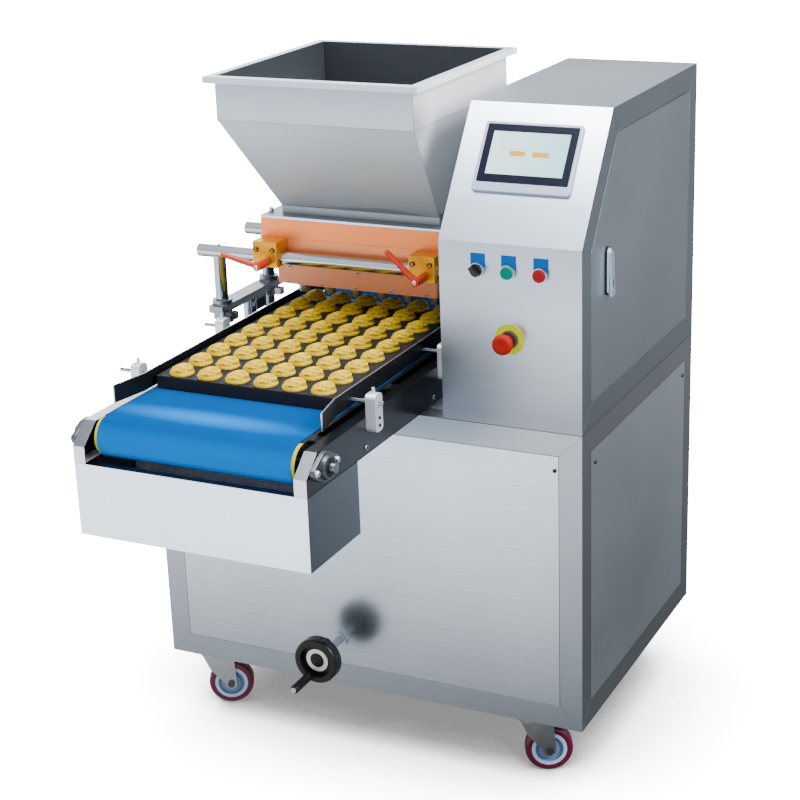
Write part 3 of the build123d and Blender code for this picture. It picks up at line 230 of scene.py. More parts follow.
def finish(name, dark, light, smooth, rough, grain=(60, 60, 60), cloud=4.0, speckle=900.0, bump=0.05,
           fade=None, bands=None, hollow_shade=None, sheen=None, **sockets):
    """Finish that wanders between two colours and two roughnesses over a worked surface.

    fade is (height, clear height, colour); the painted shade by height is (height, factor) pairs;
    the painted spot of light and shade is (centre, reach, colour); the painted hollow shade is the colour
    of the hollows that a piece stores.
    """
    made = bpy.data.materials.new(name)
    made.use_nodes = True
    tree = made.node_tree
    shader = tree.nodes["Principled BSDF"]
    for label, value in sockets.items():
        shader.inputs[label.replace("_", " ")].default_value = value
    worked = tree.nodes.new("ShaderNodeGroup")
    worked.node_tree = WORKED
    for label, value in (("Grain", grain), ("Cloud", cloud), ("Speckle", speckle), ("Smooth", smooth),
                         ("Rough", rough)):
        worked.inputs[label].default_value = value
    colour = mixed(tree, opaque(dark), opaque(light), worked.outputs["Shade"])
    if fade:
        colour = mixed(tree, colour, opaque(fade[2]), height_share(tree, *fade[:2]))
    # Painted shade and light by height.
    if bands:
        colour = height_shaded(tree, colour, bands)
    # Painted spot of light and shade.
    if sheen:
        colour = mixed(tree, colour, opaque(sheen[2]), spot_share(tree, *sheen[:2]))
    # Painted shade in the hollows that the piece stores.
    if hollow_shade:
        hollow = tree.nodes.new("ShaderNodeAttribute")
        hollow.attribute_name = "hollow_shade"
        colour = mixed(tree, colour, opaque(hollow_shade), hollow.outputs["Fac"])
    relief = tree.nodes.new("ShaderNodeBump")
    relief.inputs["Strength"].default_value = bump
    relief.inputs["Distance"].default_value = RELIEF_DEPTH
    linked(tree, (colour, shader.inputs["Base Color"]),
           (worked.outputs["Roughness"], shader.inputs["Roughness"]),
           (worked.outputs["Height"], relief.inputs["Height"]),
           (relief.outputs["Normal"], shader.inputs["Normal"]))
    return made


def steel(name, dark, light, smooth, rough, grain=(2, 2, 420), cloud=2.4, cool=0.3, metallic=1.0, **tones):
    """Brushed or ground steel: cool grey, fine grain and almost no relief."""
    return finish(name, grey(dark, cool), grey(light, cool), smooth, rough, grain, cloud, bump=0.004,
                  Metallic=metallic, **tones)


def plastic(name, dark, light, smooth, rough, cloud=30.0, gloss=0.3, **sockets):
    """Moulded or painted surface with a faint orange peel."""
    return finish(name, dark, light, smooth, rough, (50, 50, 50), cloud, bump=0.03,
                  Specular_IOR_Level=gloss, **sockets)


ACROSS, PLATE, COATED = (900, 2, 900), (2, 2, 700), (40, 40, 40)
stainless = steel("brushed stainless", 0.42, 0.70, 0.30, 0.42)
# Lighter copy of the sheet for the drip box front, painted light.
front_sheet_lit = steel("brushed sheet, painted light copy", 0.56, 0.94, 0.30, 0.40)
# Console sheet with painted shade and light by height: dark at the foot, darker again at the fold,
# brightest at the top of the slant.
shell_sheet_painted_shade = steel("brushed console sheet with painted shade by height", 0.56, 1.0, 0.28, 0.36,
                        bands=((0.80, 0.28), (1.00, 0.55), (1.14, 0.42), (1.20, 0.43), (1.36, 1.0)))
# Darker copy of the console sheet for its top, painted shade.
console_top_shaded = steel("brushed console top, painted shade copy", 0.42, 0.62, 0.28, 0.36)
# Darker copy of the console sheet for the frame on its side, painted shade.
console_side_shaded = steel("console side frame, painted shade copy", 0.23, 0.33, 0.28, 0.38, cool=0.4)
stainless_frame = steel("folded stainless frame", 0.25, 0.39, 0.28, 0.38)
# Front panel darker towards the foot, painted shade by height.
front_panel_painted_shade = steel("polished front panel with painted shade by height", 0.34, 0.78, 0.21, 0.29,
                        bands=((0.19, 0.80), (0.42, 0.94), (0.60, 1.0), (0.74, 1.0)))
# Darker copy of the sheet for the door on the side, painted shade.
door_sheet_shaded = steel("cool brushed door, painted shade copy", 0.30, 0.47, 0.30, 0.42, cool=0.36)
# Much darker copy of the sheet for faces that look sideways, painted shade.
side_sheet_shaded = steel("side sheet, painted shade copy", 0.115, 0.15, 0.34, 0.44)
# Hopper sheet with painted shade by height: dark at the neck, lighter up the taper, darker again above the
# fold.
stainless_hopper = steel("satin hopper sheet with painted shade by height", 0.50, 0.70, 0.44, 0.54, cool=0.36, metallic=0.35,
                         bands=((1.10, 0.47), (1.30, 0.98), (1.323, 0.98), (1.325, 0.72), (1.41, 0.78)))
neck_steel = steel("shaded hopper neck", 0.20, 0.30, 0.36, 0.46, metallic=0.5)
hopper_shade = steel("shaded hopper lining", 0.06, 0.095, 0.44, 0.54)
# Dark copy of the hopper sheet for its inside, painted shade.
hopper_inside_shade = steel("satin hopper inside, painted shade", 0.12, 0.19, 0.40, 0.52)
# Dark copy of the sheet for the conveyor plate webs and the drip box's upper edges, painted shade.
dark_plate_shaded = steel("dark polished plate, painted shade copy", 0.03, 0.055, 0.26, 0.36, cloud=5.0)
flange_steel = steel("shaded plate flange", 0.02, 0.035, 0.30, 0.42, cloud=5.0)
guide_steel = steel("dark polished guide", 0.022, 0.036, 0.40, 0.50, cloud=5.0)
# Pale copy of the steel on edges, painted highlight.
edge_highlight_steel = steel("bright edge, painted highlight", 0.50, 0.66, 0.26, 0.36, cloud=9.0)
seam_grey = steel("dressed weld seam", 0.09, 0.16, 0.40, 0.60, (90, 90, 90), 30.0, metallic=0.8)
chrome = steel("hard chrome", 0.42, 0.58, 0.12, 0.20, (2, 900, 900), 6.0, 0.2)
post_steel = steel("ground lift post", 0.26, 0.38, 0.10, 0.18, (900, 900, 2), 6.0, 0.35)
bright_cast = plastic("bright plated casting", grey(0.66, 0.1), grey(0.80, 0.1), 0.22, 0.32, 12.0, 0.6)
zinc = steel("bright zinc plate", 0.32, 0.60, 0.18, 0.32, COATED, 26.0, 0.12)
machined = steel("ground steel", 0.36, 0.50, 0.24, 0.36, ACROSS, 12.0, 0.2)
arm_steel = steel("dull ground steel", 0.15, 0.25, 0.22, 0.34, ACROSS, 12.0, 0.25)
lip_steel = steel("polished box lip", 0.50, 0.66, 0.08, 0.14, cloud=9.0)
latch_steel = steel("cool plated latch", 0.34, 0.52, 0.16, 0.26, cloud=24.0, cool=0.6, metallic=0.8)
dark_steel = steel("blackened steel", 0.015, 0.04, 0.34, 0.50, (60, 60, 60), 30.0, 0.1, 0.6)
# Pale aluminium of the actuator, cylinder, brackets and wheel ring; also painted light on the conveyor
# plates' end faces and left flange.
pale_aluminium_and_lit_faces = steel("pale satin aluminium, also painted light on plate faces", 0.60, 0.74, 0.36, 0.48, (30, 30, 300), 9.0, 0.12, 0.7)
bearing_grey = steel("cast bearing housing", 0.06, 0.11, 0.28, 0.42, (70, 70, 70), 40.0, 0.2, 0.8)
# Near-white for the drip box's inner back wall, painted light.
inner_wall_painted_light = plastic("inner wall, painted light", grey(0.78), grey(0.90), 0.40, 0.50, 8.0, 0.2)
copper = finish("copper coloured plate", (0.80, 0.215, 0.06), (0.98, 0.29, 0.095), 0.36, 0.48, PLATE, 3.0,
                bump=0.006, Metallic=0.75)
copper_pale = finish("pale copper manifold", (0.74, 0.24, 0.09), (0.90, 0.32, 0.13), 0.38, 0.50, PLATE, 3.0,
                     bump=0.006, fade=(0.985, 1.005, (0.52, 0.20, 0.11)), Metallic=0.7)
gold = finish("gold anodised block", (0.56, 0.25, 0.002), (0.70, 0.34, 0.008), 0.32, 0.44, (60, 60, 400),
              14.0, bump=0.01, Metallic=0.7)
lever_red = plastic("orange red lever coat", (0.42, 0.016, 0.003), (0.54, 0.028, 0.006), 0.30, 0.42, 20.0)
black_gloss = plastic("black moulding", grey(0.004), grey(0.009), 0.24, 0.36, 18.0, 0.25)
black_matt = plastic("black rubbery moulding", grey(0.004), grey(0.010), 0.45, 0.62, 20.0, 0.25)
# Blue belt with painted light: lighter below a height on the front wrap and lower run, and a painted sheen
# band on the top near the front roller.
belt_blue_painted_light = finish("blue belt cover with painted light", (0.0, 0.036, 0.15), (0.0, 0.052, 0.20), 0.36, 0.46, (12, 12, 12), 5.0,
                   bump=0.01, fade=(0.800, 0.850, (0.0, 0.165, 0.60)),
                   sheen=((-0.13, -0.488, 0.856), (0.30, 0.050, 0.03), (0.0, 0.125, 0.42)),
                   Specular_IOR_Level=0.0)
belt_green = plastic("yellow green belt layer", (0.30, 0.30, 0.004), (0.42, 0.42, 0.010), 0.42, 0.58,
                     gloss=0.2)
tray_coat = finish("dark tray coat", (0.006, 0.007, 0.012), (0.012, 0.014, 0.021), 0.46, 0.60, COATED, 8.0,
                   bump=0.03, Specular_IOR_Level=0.12)
tyre_purple = plastic("plum tread", (0.085, 0.003, 0.026), (0.14, 0.005, 0.040), 0.24, 0.34, 20.0, 0.5)
hub_blue = plastic("blue grey hub", (0.10, 0.19, 0.36), (0.18, 0.28, 0.46), 0.32, 0.44)
hub_pale = plastic("pale hub rim", (0.42, 0.52, 0.74), (0.54, 0.64, 0.84), 0.32, 0.44)
bezel_silver = finish("silver screen bezel", (0.22, 0.27, 0.38), (0.29, 0.34, 0.46), 0.34, 0.44, COATED,
                      12.0, bump=0.02, Metallic=0.2)
glass_navy = plastic("navy screen glass", (0.004, 0.005, 0.012), (0.007, 0.009, 0.020), 0.20, 0.28, 9.0,
                     0.05)
legend_blue = plastic("blue legend plate", (0.0, 0.062, 0.26), (0.0, 0.085, 0.34), 0.34, 0.46, gloss=0.03)
legend_yellow = plastic("yellow stop disc", (0.44, 0.46, 0.0), (0.56, 0.58, 0.002), 0.36, 0.48, gloss=0.03)
cap_green = plastic("green button cap", (0.0, 0.13, 0.085), (0.0, 0.17, 0.115), 0.28, 0.40, gloss=0.03)
cap_red = plastic("red button cap", (0.19, 0.005, 0.008), (0.26, 0.007, 0.012), 0.28, 0.40, gloss=0.05)
mushroom_red = plastic("matt red mushroom", (0.22, 0.007, 0.004), (0.30, 0.010, 0.007), 0.42, 0.56,
                       gloss=0.05)
module_grey = plastic("control module case", grey(0.13), grey(0.19), 0.45, 0.60, 12.0)
motor_grey = plastic("motor paint", grey(0.05, 0.1), grey(0.08, 0.1), 0.40, 0.55, 20.0)
# Batter colour, with painted shade in the hollows that the portion stores.
batter = finish("moist batter", (0.34, 0.21, 0.0), (0.94, 0.67, 0.002), 0.40, 0.56, (160, 160, 160), 150.0,
                420.0, bump=0.85, hollow_shade=(0.20, 0.095, 0.0), Specular_IOR_Level=0.15)


def display_finish(name, start, end, left, right, strength):
    """Lit display that runs from one colour to another along X."""
    made = finish(name, grey(0.01), grey(0.02), 0.20, 0.30, (30, 30, 30), 20.0, bump=0.005,
                  Specular_IOR_Level=0.1, Emission_Strength=strength)
    tree = made.node_tree
    share = mapped(tree, object_axis(tree, "X"), start, end, 0.0, 1.0)
    glow = mixed(tree, opaque(left), opaque(right), share)
    tree.links.new(glow, tree.nodes["Principled BSDF"].inputs["Emission Color"])
    return made


# Mesh helpers
WELD = 1e-6
SOFT_FOLD = 32


def placed(name, data):
    """Object at the origin, in the scene, that carries a mesh, a lamp or a camera."""
    piece = bpy.data.objects.new(name, data)
    bpy.context.scene.collection.objects.link(piece)
    return piece


def mesh_object(name, bm, materials):
    """Object at the origin from a bmesh, shaded smooth across its soft folds."""
    mesh = bpy.data.meshes.new(name)
    bm.to_mesh(mesh)
    bm.free()
    for made in materials:
        mesh.materials.append(made)
    piece = placed(name, mesh)
    shaded(piece)
    return piece


def shaded(piece, fold=SOFT_FOLD):
    """Smooth shading that keeps folds sharper than an angle."""
    piece.data.shade_smooth()
    piece.data.set_sharp_from_angle(angle=math.radians(fold))


def baked(piece):
    """Replace a piece's mesh by what its modifiers make of it."""
    graph = bpy.context.evaluated_depsgraph_get()
    mesh = bpy.data.meshes.new_from_object(piece.evaluated_get(graph), depsgraph=graph)
    old = piece.data
    piece.modifiers.clear()
    piece.data = mesh
    bpy.data.meshes.remove(old)
    return piece


def rounded(piece, width, segments=2):
    """Round every fold of a piece by a small bevel, with the wide faces kept flat in the shading."""
    bevel = piece.modifiers.new("edge", "BEVEL")
    bevel.width = width
    bevel.segments = segments
    bevel.limit_method = "ANGLE"
    bevel.angle_limit = math.radians(SOFT_FOLD)
    baked(piece)
    shaded(piece)
    even = piece.modifiers.new("even", "WEIGHTED_NORMAL")
    even.keep_sharp = True
    even.weight = 100
    return baked(piece)


def islands_of(bm):
    """Connected groups of faces with their box: a list of (faces, low, high)."""
    left = set(bm.faces)
    found = []
    while left:
        stack = [left.pop()]
        group = []
        while stack:
            face = stack.pop()
            group.append(face)
            for edge in face.edges:
                for other in edge.link_faces:
                    if other in left:
                        left.remove(other)
                        stack.append(other)
        corners = [vertex.co for face in group for vertex in face.verts]
        low = Vector([min(c[i] for c in corners) for i in range(3)])
        high = Vector([max(c[i] for c in corners) for i in range(3)])
        found.append((group, low, high))
    return found


def cad_copy(node):
    """Copy of a CAD node's mesh with its corners merged."""
    bm = bmesh.new()
    bm.from_mesh(cad[node].data)
    bmesh.ops.remove_doubles(bm, verts=bm.verts, dist=WELD)
    return bm


def dressed(node, materials, edge=0.6, rule=None, island_rule=None):
    """Piece that stands for a CAD node: its mesh, folds rounded by an edge in millimetres, finishes."""
    bm = cad_copy(node)
    for group, low, high in islands_of(bm):
        choose = island_rule(low, high) if island_rule else None
        choose = choose or rule
        for face in group:
            face.material_index = choose(face.calc_center_median(), face.normal) if choose else 0
    bmesh.ops.dissolve_limit(bm, angle_limit=math.radians(0.5), verts=bm.verts, edges=bm.edges,
                             delimit={"MATERIAL"})
    piece = rounded(mesh_object(node + "_finished", bm, materials), edge * MM)
    return adopt(piece, body_of[node], slot_of[node], node)


def always(index):
    """Rule that gives every face the same finish."""
    return lambda centre, normal: index


def adopt(piece, body, slot, *replaced):
    """Let a finished piece ride on its body and stand for CAD nodes, which it hides; the slot is not used.
    """
    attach(piece, body)
    if replaced:
        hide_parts(*replaced)
    return piece


def facing(direction):
    """Turn that carries +Z onto a direction."""
    return direction.to_track_quat("Z", "Y").to_matrix().to_4x4()


def bridged(bm, first, second, index=0):
    """Faces between two rings of vertices; a ring of one vertex is a tip."""
    steps = max(len(first), len(second))
    for step in range(steps):
        after = (step + 1) % steps
        corners = [first[step % len(first)], first[after % len(first)],
                   second[after % len(second)], second[step % len(second)]]
        corners = list(dict.fromkeys(corners))
        if len(corners) > 2:
            bm.faces.new(corners).material_index = index


def turned(bm, place, direction, profile, index=0, steps=48):
    """Add a turned shape to a bmesh: profile is (radius, distance along the direction) pairs."""
    spin = facing(direction)
    rings = []
    for radius, along in profile:
        ring = []
        for step in range(steps if radius else 1):
            angle = 2 * math.pi * step / steps
            arm = Vector((radius * math.cos(angle), radius * math.sin(angle), along))
            ring.append(bm.verts.new(place + spin @ arm))
        rings.append(ring)
    for first, second in zip(rings, rings[1:]):
        bridged(bm, first, second, index)
    return bm


def outward(bm):
    """Merge doubles and point every face outwards."""
    bmesh.ops.remove_doubles(bm, verts=bm.verts, dist=WELD)
    bmesh.ops.recalc_face_normals(bm, faces=bm.faces)
    return bm


def in_mm(rows):
    """Rows of numbers given in millimetres, in metres."""
    return [[value * MM for value in row] for row in rows]


def rounded_loop(width, height, radius, steps=6):
    """Rectangle with rounded corners about the origin, as (across, up) pairs."""
    points = []
    for quarter, (side, rise) in enumerate(((1, 1), (-1, 1), (-1, -1), (1, -1))):
        for step in range(steps + 1):
            angle = math.pi / 2 * (quarter + step / steps)
            across = side * (width / 2 - radius) + radius * math.cos(angle)
            points.append((across, rise * (height / 2 - radius) + radius * math.sin(angle)))
    return points


def lofted(bm, axes, rings, index=0, last_index=None):
    """Closed skin through rounded rectangles: rings are (width, height, radius, distance out, shift up)."""
    origin, across, up, out = axes
    loops = []
    for width, height, radius, distance, shift in rings:
        place = origin + out * distance + up * shift
        outline = rounded_loop(width, height, radius)
        loops.append([bm.verts.new(place + across * u + up * v) for u, v in outline])
    for first, second in zip(loops, loops[1:]):
        bridged(bm, first, second, index)
    bm.faces.new(loops[0][::-1]).material_index = index
    bm.faces.new(loops[-1]).material_index = index if last_index is None else last_index
    return bm


def blocked(bm, low, high, index=0):
    """Add a box to a bmesh, given by its two corners."""
    corners = bmesh.ops.create_cube(bm, size=1)["verts"]
    for vertex in corners:
        vertex.co = Vector([low[i] + (vertex.co[i] + 0.5) * (high[i] - low[i]) for i in range(3)])
    for face in {face for vertex in corners for face in vertex.link_faces}:
        face.material_index = index
    return bm


# Geometry Nodes trees: portions in rows, fasteners on points and seams along lines
def geometry_tree(name, inputs):
    """Empty tree with named inputs; gives the tree and its input and output nodes."""
    tree = bpy.data.node_groups.new(name, "GeometryNodeTree")
    tree.interface.new_socket("Geometry", in_out="INPUT", socket_type="NodeSocketGeometry")
    for label, kind, value in inputs:
        socket = tree.interface.new_socket(label, in_out="INPUT", socket_type="NodeSocket" + kind)
        if value is not None:
            socket.default_value = value
    tree.interface.new_socket("Geometry", in_out="OUTPUT", socket_type="NodeSocketGeometry")
    return tree, tree.nodes.new("NodeGroupInput"), tree.nodes.new("NodeGroupOutput")


def painted(tree, geometry, result, *coats):
    """Realize instances, set a material per selection and end the tree."""
    realize = tree.nodes.new("GeometryNodeRealizeInstances")
    linked(tree, (geometry, realize.inputs["Geometry"]))
    geometry = realize.outputs["Geometry"]
    for made, selection in coats:
        paint = tree.nodes.new("GeometryNodeSetMaterial")
        linked(tree, (geometry, paint.inputs["Geometry"]), (made, paint.inputs["Material"]))
        if selection:
            linked(tree, (selection, paint.inputs["Selection"]))
        geometry = paint.outputs["Geometry"]
    linked(tree, (geometry, result.inputs["Geometry"]))


def grown(piece, tree, values):
    """Run a tree on a piece with its inputs set, and keep the plain mesh that comes out."""
    make = piece.modifiers.new("make", "NODES")
    make.node_group = tree
    for item in tree.interface.items_tree:
        if item.item_type == "SOCKET" and item.in_out == "INPUT" and item.name in values:
            make[item.identifier] = values[item.name]
    baked(piece)
    shaded(piece)
    return piece


def stored(tree, name, kind):
    """Socket that reads a stored attribute."""
    node = tree.nodes.new("GeometryNodeInputNamedAttribute")
    node.data_type = kind
    node.inputs["Name"].default_value = name
    return node.outputs["Attribute"]


def portion_tree():
    """The piece itself, repeated over a grid with a small seeded turn."""
    tree, given, result = geometry_tree(
        "portions in rows",
        [("Columns", "Int", 6), ("Rows", "Int", 9), ("Column Pitch", "Float", 0.06),
         ("Row Pitch", "Float", 0.07), ("Centre", "Vector", (0, 0, 0)), ("Turn", "Float", 0.1),
         ("Seed", "Int", 4), ("Finish", "Material", None)],
    )
    grid = tree.nodes.new("GeometryNodeMeshGrid")
    for count, pitch, size, vertices in (("Columns", "Column Pitch", "Size X", "Vertices X"),
                                         ("Rows", "Row Pitch", "Size Y", "Vertices Y")):
        less = math_node(tree, "SUBTRACT", given.outputs[count], 1.0)
        linked(tree, (math_node(tree, "MULTIPLY", less, given.outputs[pitch]), grid.inputs[size]),
               (given.outputs[count], grid.inputs[vertices]))
    shift = tree.nodes.new("GeometryNodeTransform")
    linked(tree, (grid.outputs["Mesh"], shift.inputs["Geometry"]),
           (given.outputs["Centre"], shift.inputs["Translation"]))
    chance = tree.nodes.new("FunctionNodeRandomValue")
    chance.data_type = "FLOAT"
    back = math_node(tree, "MULTIPLY", given.outputs["Turn"], -1.0)
    floats = [socket for socket in chance.inputs if socket.type == "VALUE" and socket.enabled]
    linked(tree, (back, floats[0]), (given.outputs["Turn"], floats[1]),
           (given.outputs["Seed"], chance.inputs["Seed"]))
    drawn = next(socket for socket in chance.outputs if socket.type == "VALUE" and socket.enabled)
    upright = tree.nodes.new("ShaderNodeCombineXYZ")
    linked(tree, (drawn, upright.inputs["Z"]))
    place = tree.nodes.new("GeometryNodeInstanceOnPoints")
    linked(tree, (shift.outputs["Geometry"], place.inputs["Points"]),
           (given.outputs["Geometry"], place.inputs["Instance"]),
           (upright.outputs["Vector"], place.inputs["Rotation"]))
    painted(tree, place.outputs["Instances"], result, (given.outputs["Finish"], None))
    return tree


def fastener_tree():
    """A template object on every point, turned to the point's aim and scaled to its size."""
    tree, given, result = geometry_tree(
        "fasteners",
        [("Template", "Object", None), ("Finish", "Material", None), ("Recess", "Material", None)],
    )
    source = tree.nodes.new("GeometryNodeObjectInfo")
    align = tree.nodes.new("FunctionNodeAlignRotationToVector")
    align.axis = "Z"
    place = tree.nodes.new("GeometryNodeInstanceOnPoints")
    linked(tree, (given.outputs["Template"], source.inputs["Object"]),
           (stored(tree, "aim", "FLOAT_VECTOR"), align.inputs["Vector"]),
           (given.outputs["Geometry"], place.inputs["Points"]),
           (source.outputs["Geometry"], place.inputs["Instance"]),
           (align.outputs["Rotation"], place.inputs["Rotation"]),
           (stored(tree, "size", "FLOAT"), place.inputs["Scale"]))
    painted(tree, place.outputs["Instances"], result, (given.outputs["Finish"], None),
            (given.outputs["Recess"], stored(tree, "recess", "BOOLEAN")))
    return tree


def seam_tree():
    """A fine bead along every edge of the piece."""
    tree, given, result = geometry_tree("seams", [("Width", "Float", 0.001), ("Finish", "Material", None)])
    path = tree.nodes.new("GeometryNodeMeshToCurve")
    bead = tree.nodes.new("GeometryNodeCurvePrimitiveCircle")
    bead.inputs["Resolution"].default_value = 6
    sweep = tree.nodes.new("GeometryNodeCurveToMesh")
    sweep.inputs["Fill Caps"].default_value = True
    linked(tree, (given.outputs["Geometry"], path.inputs["Mesh"]),
           (given.outputs["Width"], bead.inputs["Radius"]), (path.outputs["Curve"], sweep.inputs["Curve"]),
           (bead.outputs["Curve"], sweep.inputs["Profile Curve"]))
    painted(tree, sweep.outputs["Mesh"], result, (given.outputs["Finish"], None))
    return tree


PORTIONS, FASTENERS, SEAMS = portion_tree(), fastener_tree(), seam_tree()


def template(shape):
    """Helper object that a tree repeats; faces of material index one are its recess."""
    piece = mesh_object("pattern", outward(shape), [])
    recess = [polygon.material_index == 1 for polygon in piece.data.polygons]
    piece.data.attributes.new("recess", "BOOLEAN", "FACE").data.foreach_set("value", recess)
    for polygon in piece.data.polygons:
        polygon.material_index = 0
    return piece


def upright_turned(*parts):
    """Shapes turned round the vertical in one bmesh: parts are (profile, material index, steps)."""
    bm = bmesh.new()
    for profile, index, steps in parts:
        turned(bm, Vector(), UP, profile, index, steps)
    return bm


def socket_screw():
    """Cap screw of unit radius with a hexagon socket."""
    head = ((0, -0.3), (0.98, -0.3), (1, 0.45), (0.86, 0.62), (0.62, 0.64))
    socket = ((0.62, 0.64), (0.56, 0.60), (0.52, 0.16), (0, 0.12))
    return upright_turned((head, 0, 24), (socket, 1, 24))


def hex_bolt():
    """Hexagon head of unit radius on a washer."""
    washer = ((0, -0.2), (1.3, -0.2), (1.3, 0.1), (1.22, 0.16), (0, 0.16))
    head = ((0, 0.15), (1, 0.15), (1, 0.74), (0.84, 0.86), (0, 0.88))
    return upright_turned((washer, 0, 24), (head, 0, 6))


def acorn_nut():
    """Domed nut of unit radius on a washer."""
    washer = ((0, -0.2), (1.3, -0.2), (1.3, 0.12), (0, 0.16))
    nut = ((0, 0.1), (1, 0.1), (1, 0.95), (0.86, 1.06), (0, 1.06))
    dome = [(0.78 * math.cos(rise), 1.0 + 0.9 * math.sin(rise)) for rise in (0, 0.4, 0.8, 1.2)]
    return upright_turned((washer, 0, 24), (nut, 0, 6), ([(0, 0.9)] + dome + [(0, 1.92)], 0, 20))


def fastened(name, shape, places, body, slot, made, recess):
    """Fasteners of one kind on one body: places are (point, direction, size)."""
    pattern = template(shape())
    mesh = bpy.data.meshes.new(name)
    mesh.from_pydata([place for place, aim, size in places], [], [])
    mesh.attributes.new("aim", "FLOAT_VECTOR", "POINT")
    mesh.attributes.new("size", "FLOAT", "POINT")
    for index, (place, aim, size) in enumerate(places):
        mesh.attributes["aim"].data[index].vector = aim
        mesh.attributes["size"].data[index].value = size
    piece = placed(name, mesh)
    grown(piece, FASTENERS, {"Template": pattern, "Finish": made, "Recess": recess})
    bpy.data.objects.remove(pattern)
    return adopt(piece, body, slot)


def seamed(name, lines, body, slot, made, width):
    """Fine beads along straight lines, each given by its points."""
    points, edges = [], []
    for line in lines:
        edges += [(len(points) + step, len(points) + step + 1) for step in range(len(line) - 1)]
        points += line
    mesh = bpy.data.meshes.new(name)
    mesh.from_pydata(points, edges, [])
    piece = placed(name, mesh)
    grown(piece, SEAMS, {"Width": width, "Finish": made})
    return adopt(piece, body, slot)


# Base: folded frame with windows, panels, seams and screws
back_face, left_face, base_bottom = base_high.y, base_low.x, base_low.z
sheet = 3 * MM


def base_frame_piece():
    """Box frame folded from sheet, with a window in each side."""
    bm = bmesh.new()
    blocked(bm, base_low, base_high)
    bmesh.ops.recalc_face_normals(bm, faces=bm.faces)
    sides = list(bm.faces)
    bmesh.ops.inset_individual(bm, faces=sides, thickness=frame_border, use_even_offset=True)
    bmesh.ops.delete(bm, geom=sides, context="FACES_ONLY")
    piece = mesh_object("base_frame_finished", bm, [stainless_frame])
    wall = piece.modifiers.new("wall", "SOLIDIFY")
    wall.thickness = sheet
    wall.offset = -1
    wall.use_even_offset = True
    baked(piece)
    rounded(piece, 0.8 * MM)
    return adopt(piece, "base", "stainless_frame", "base_frame")


base_frame_piece()
dressed("base_front_panel", [front_panel_painted_shade], edge=0.4)
dressed("base_deck", [stainless], edge=0.5)
dressed("base_panels", [stainless, black_matt], edge=0.5,
        rule=lambda centre, normal: int(centre.y > back_face + 0.5 * MM))


def window_corners(first, second, border):
    """Corner pairs of a rectangular window frame: outer corner, then window corner."""
    pairs = []
    for a, side in ((first[0], 1), (first[1], -1)):
        for b, rise in ((second[0], 1), (second[1], -1)):
            pairs.append(((a, b), (a + side * border, b + rise * border)))
    return pairs


def inset_outline(points, amount):
    """Polygon drawn in by an amount, corner by corner."""
    drawn = []
    for index, point in enumerate(points):
        before = (Vector(point) - Vector(points[index - 1])).normalized()
        after = (Vector(points[(index + 1) % len(points)]) - Vector(point)).normalized()
        turn = before.x * after.y - before.y * after.x
        slide = (after - before) * (amount / turn) if abs(turn) > 1e-6 else Vector((0, 0))
        drawn.append(Vector(point) + slide)
    return drawn


across_span, depth_span = (left_face, right_face), (front_face, back_face)
height_span = (base_bottom, deck_top)
seam_span = (left_face + 0.4 * MM, right_face)
seam_lines = []
for y in depth_span:
    for outer, inner in window_corners(seam_span, height_span, frame_border):
        seam_lines.append([(outer[0], y, outer[1]), (inner[0], y, inner[1])])
for x in seam_span:
    for outer, inner in window_corners(depth_span, height_span, frame_border):
        seam_lines.append([(x, *outer), (x, *inner)])
console_top = console_high.z
slant_depth, slant_foot = 169 * MM, 363 * MM
console_side = [
    (front_face, deck_top), (back_face, deck_top), (back_face, console_top),
    (front_face + slant_depth, console_top), (front_face, deck_top + slant_foot),
]
for outer, inner in zip(console_side, inset_outline(console_side, frame_border)):
    seam_lines.append([(right_face, *outer), (right_face, *inner)])
seamed("mitre_seams", seam_lines, "base", "stainless_frame", seam_grey, width=0.3 * MM)


def loop_of(first, second, border):
    """Closed loop of points round a window in a rectangle."""
    low = (first[0] + border, second[0] + border)
    high = (first[1] - border, second[1] - border)
    return [low, (high[0], low[1]), high, (low[0], high[1]), low]


gap_border = frame_border + 0.3 * MM
gap_lines = [[(a, y, b) for a, b in loop_of(across_span, height_span, gap_border)]
             for y in (front_face + 0.4 * MM, back_face - 0.4 * MM)]
gap_lines += [[(x, a, b) for a, b in loop_of(depth_span, height_span, gap_border)]
              for x in (left_face + 0.7 * MM, right_face - 0.4 * MM)]
gap_lines.append([(console_low.x, front_face, deck_top), (right_face, front_face, deck_top),
                  (right_face, back_face, deck_top)])
seamed("panel_gaps", gap_lines, "base", "stainless_frame", dark_steel, width=0.7 * MM)


# Console shell, door and latch
def door_part(centre, normal):
    """Dark gasket of the latch on the door, and its bright base on that."""
    gasket_start, base_start = right_face + 0.5 * MM, right_face + 3.2 * MM
    return int(centre.x > gasket_start) + int(centre.x > base_start)


def shell_part(centre, normal):
    """Front and slant, then darker painted-shade copies for the top and for the frame round the door."""
    if abs(normal.x) > SQUARE_ON:
        return 2
    return int(normal.z > 0.95)


dressed("cabinet_shell", [shell_sheet_painted_shade, console_top_shaded, console_side_shaded], edge=1.2, rule=shell_part)
dressed("cabinet_door", [door_sheet_shaded, glass_navy, bright_cast], edge=0.6, rule=door_part)
dressed("latch_handle", [latch_steel], edge=1.2)
latch_low, latch_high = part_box("latch_handle")
latch_y = (latch_low.y + latch_high.y) / 2
latch_slope = Vector((0.9994, 0, 0.0337))


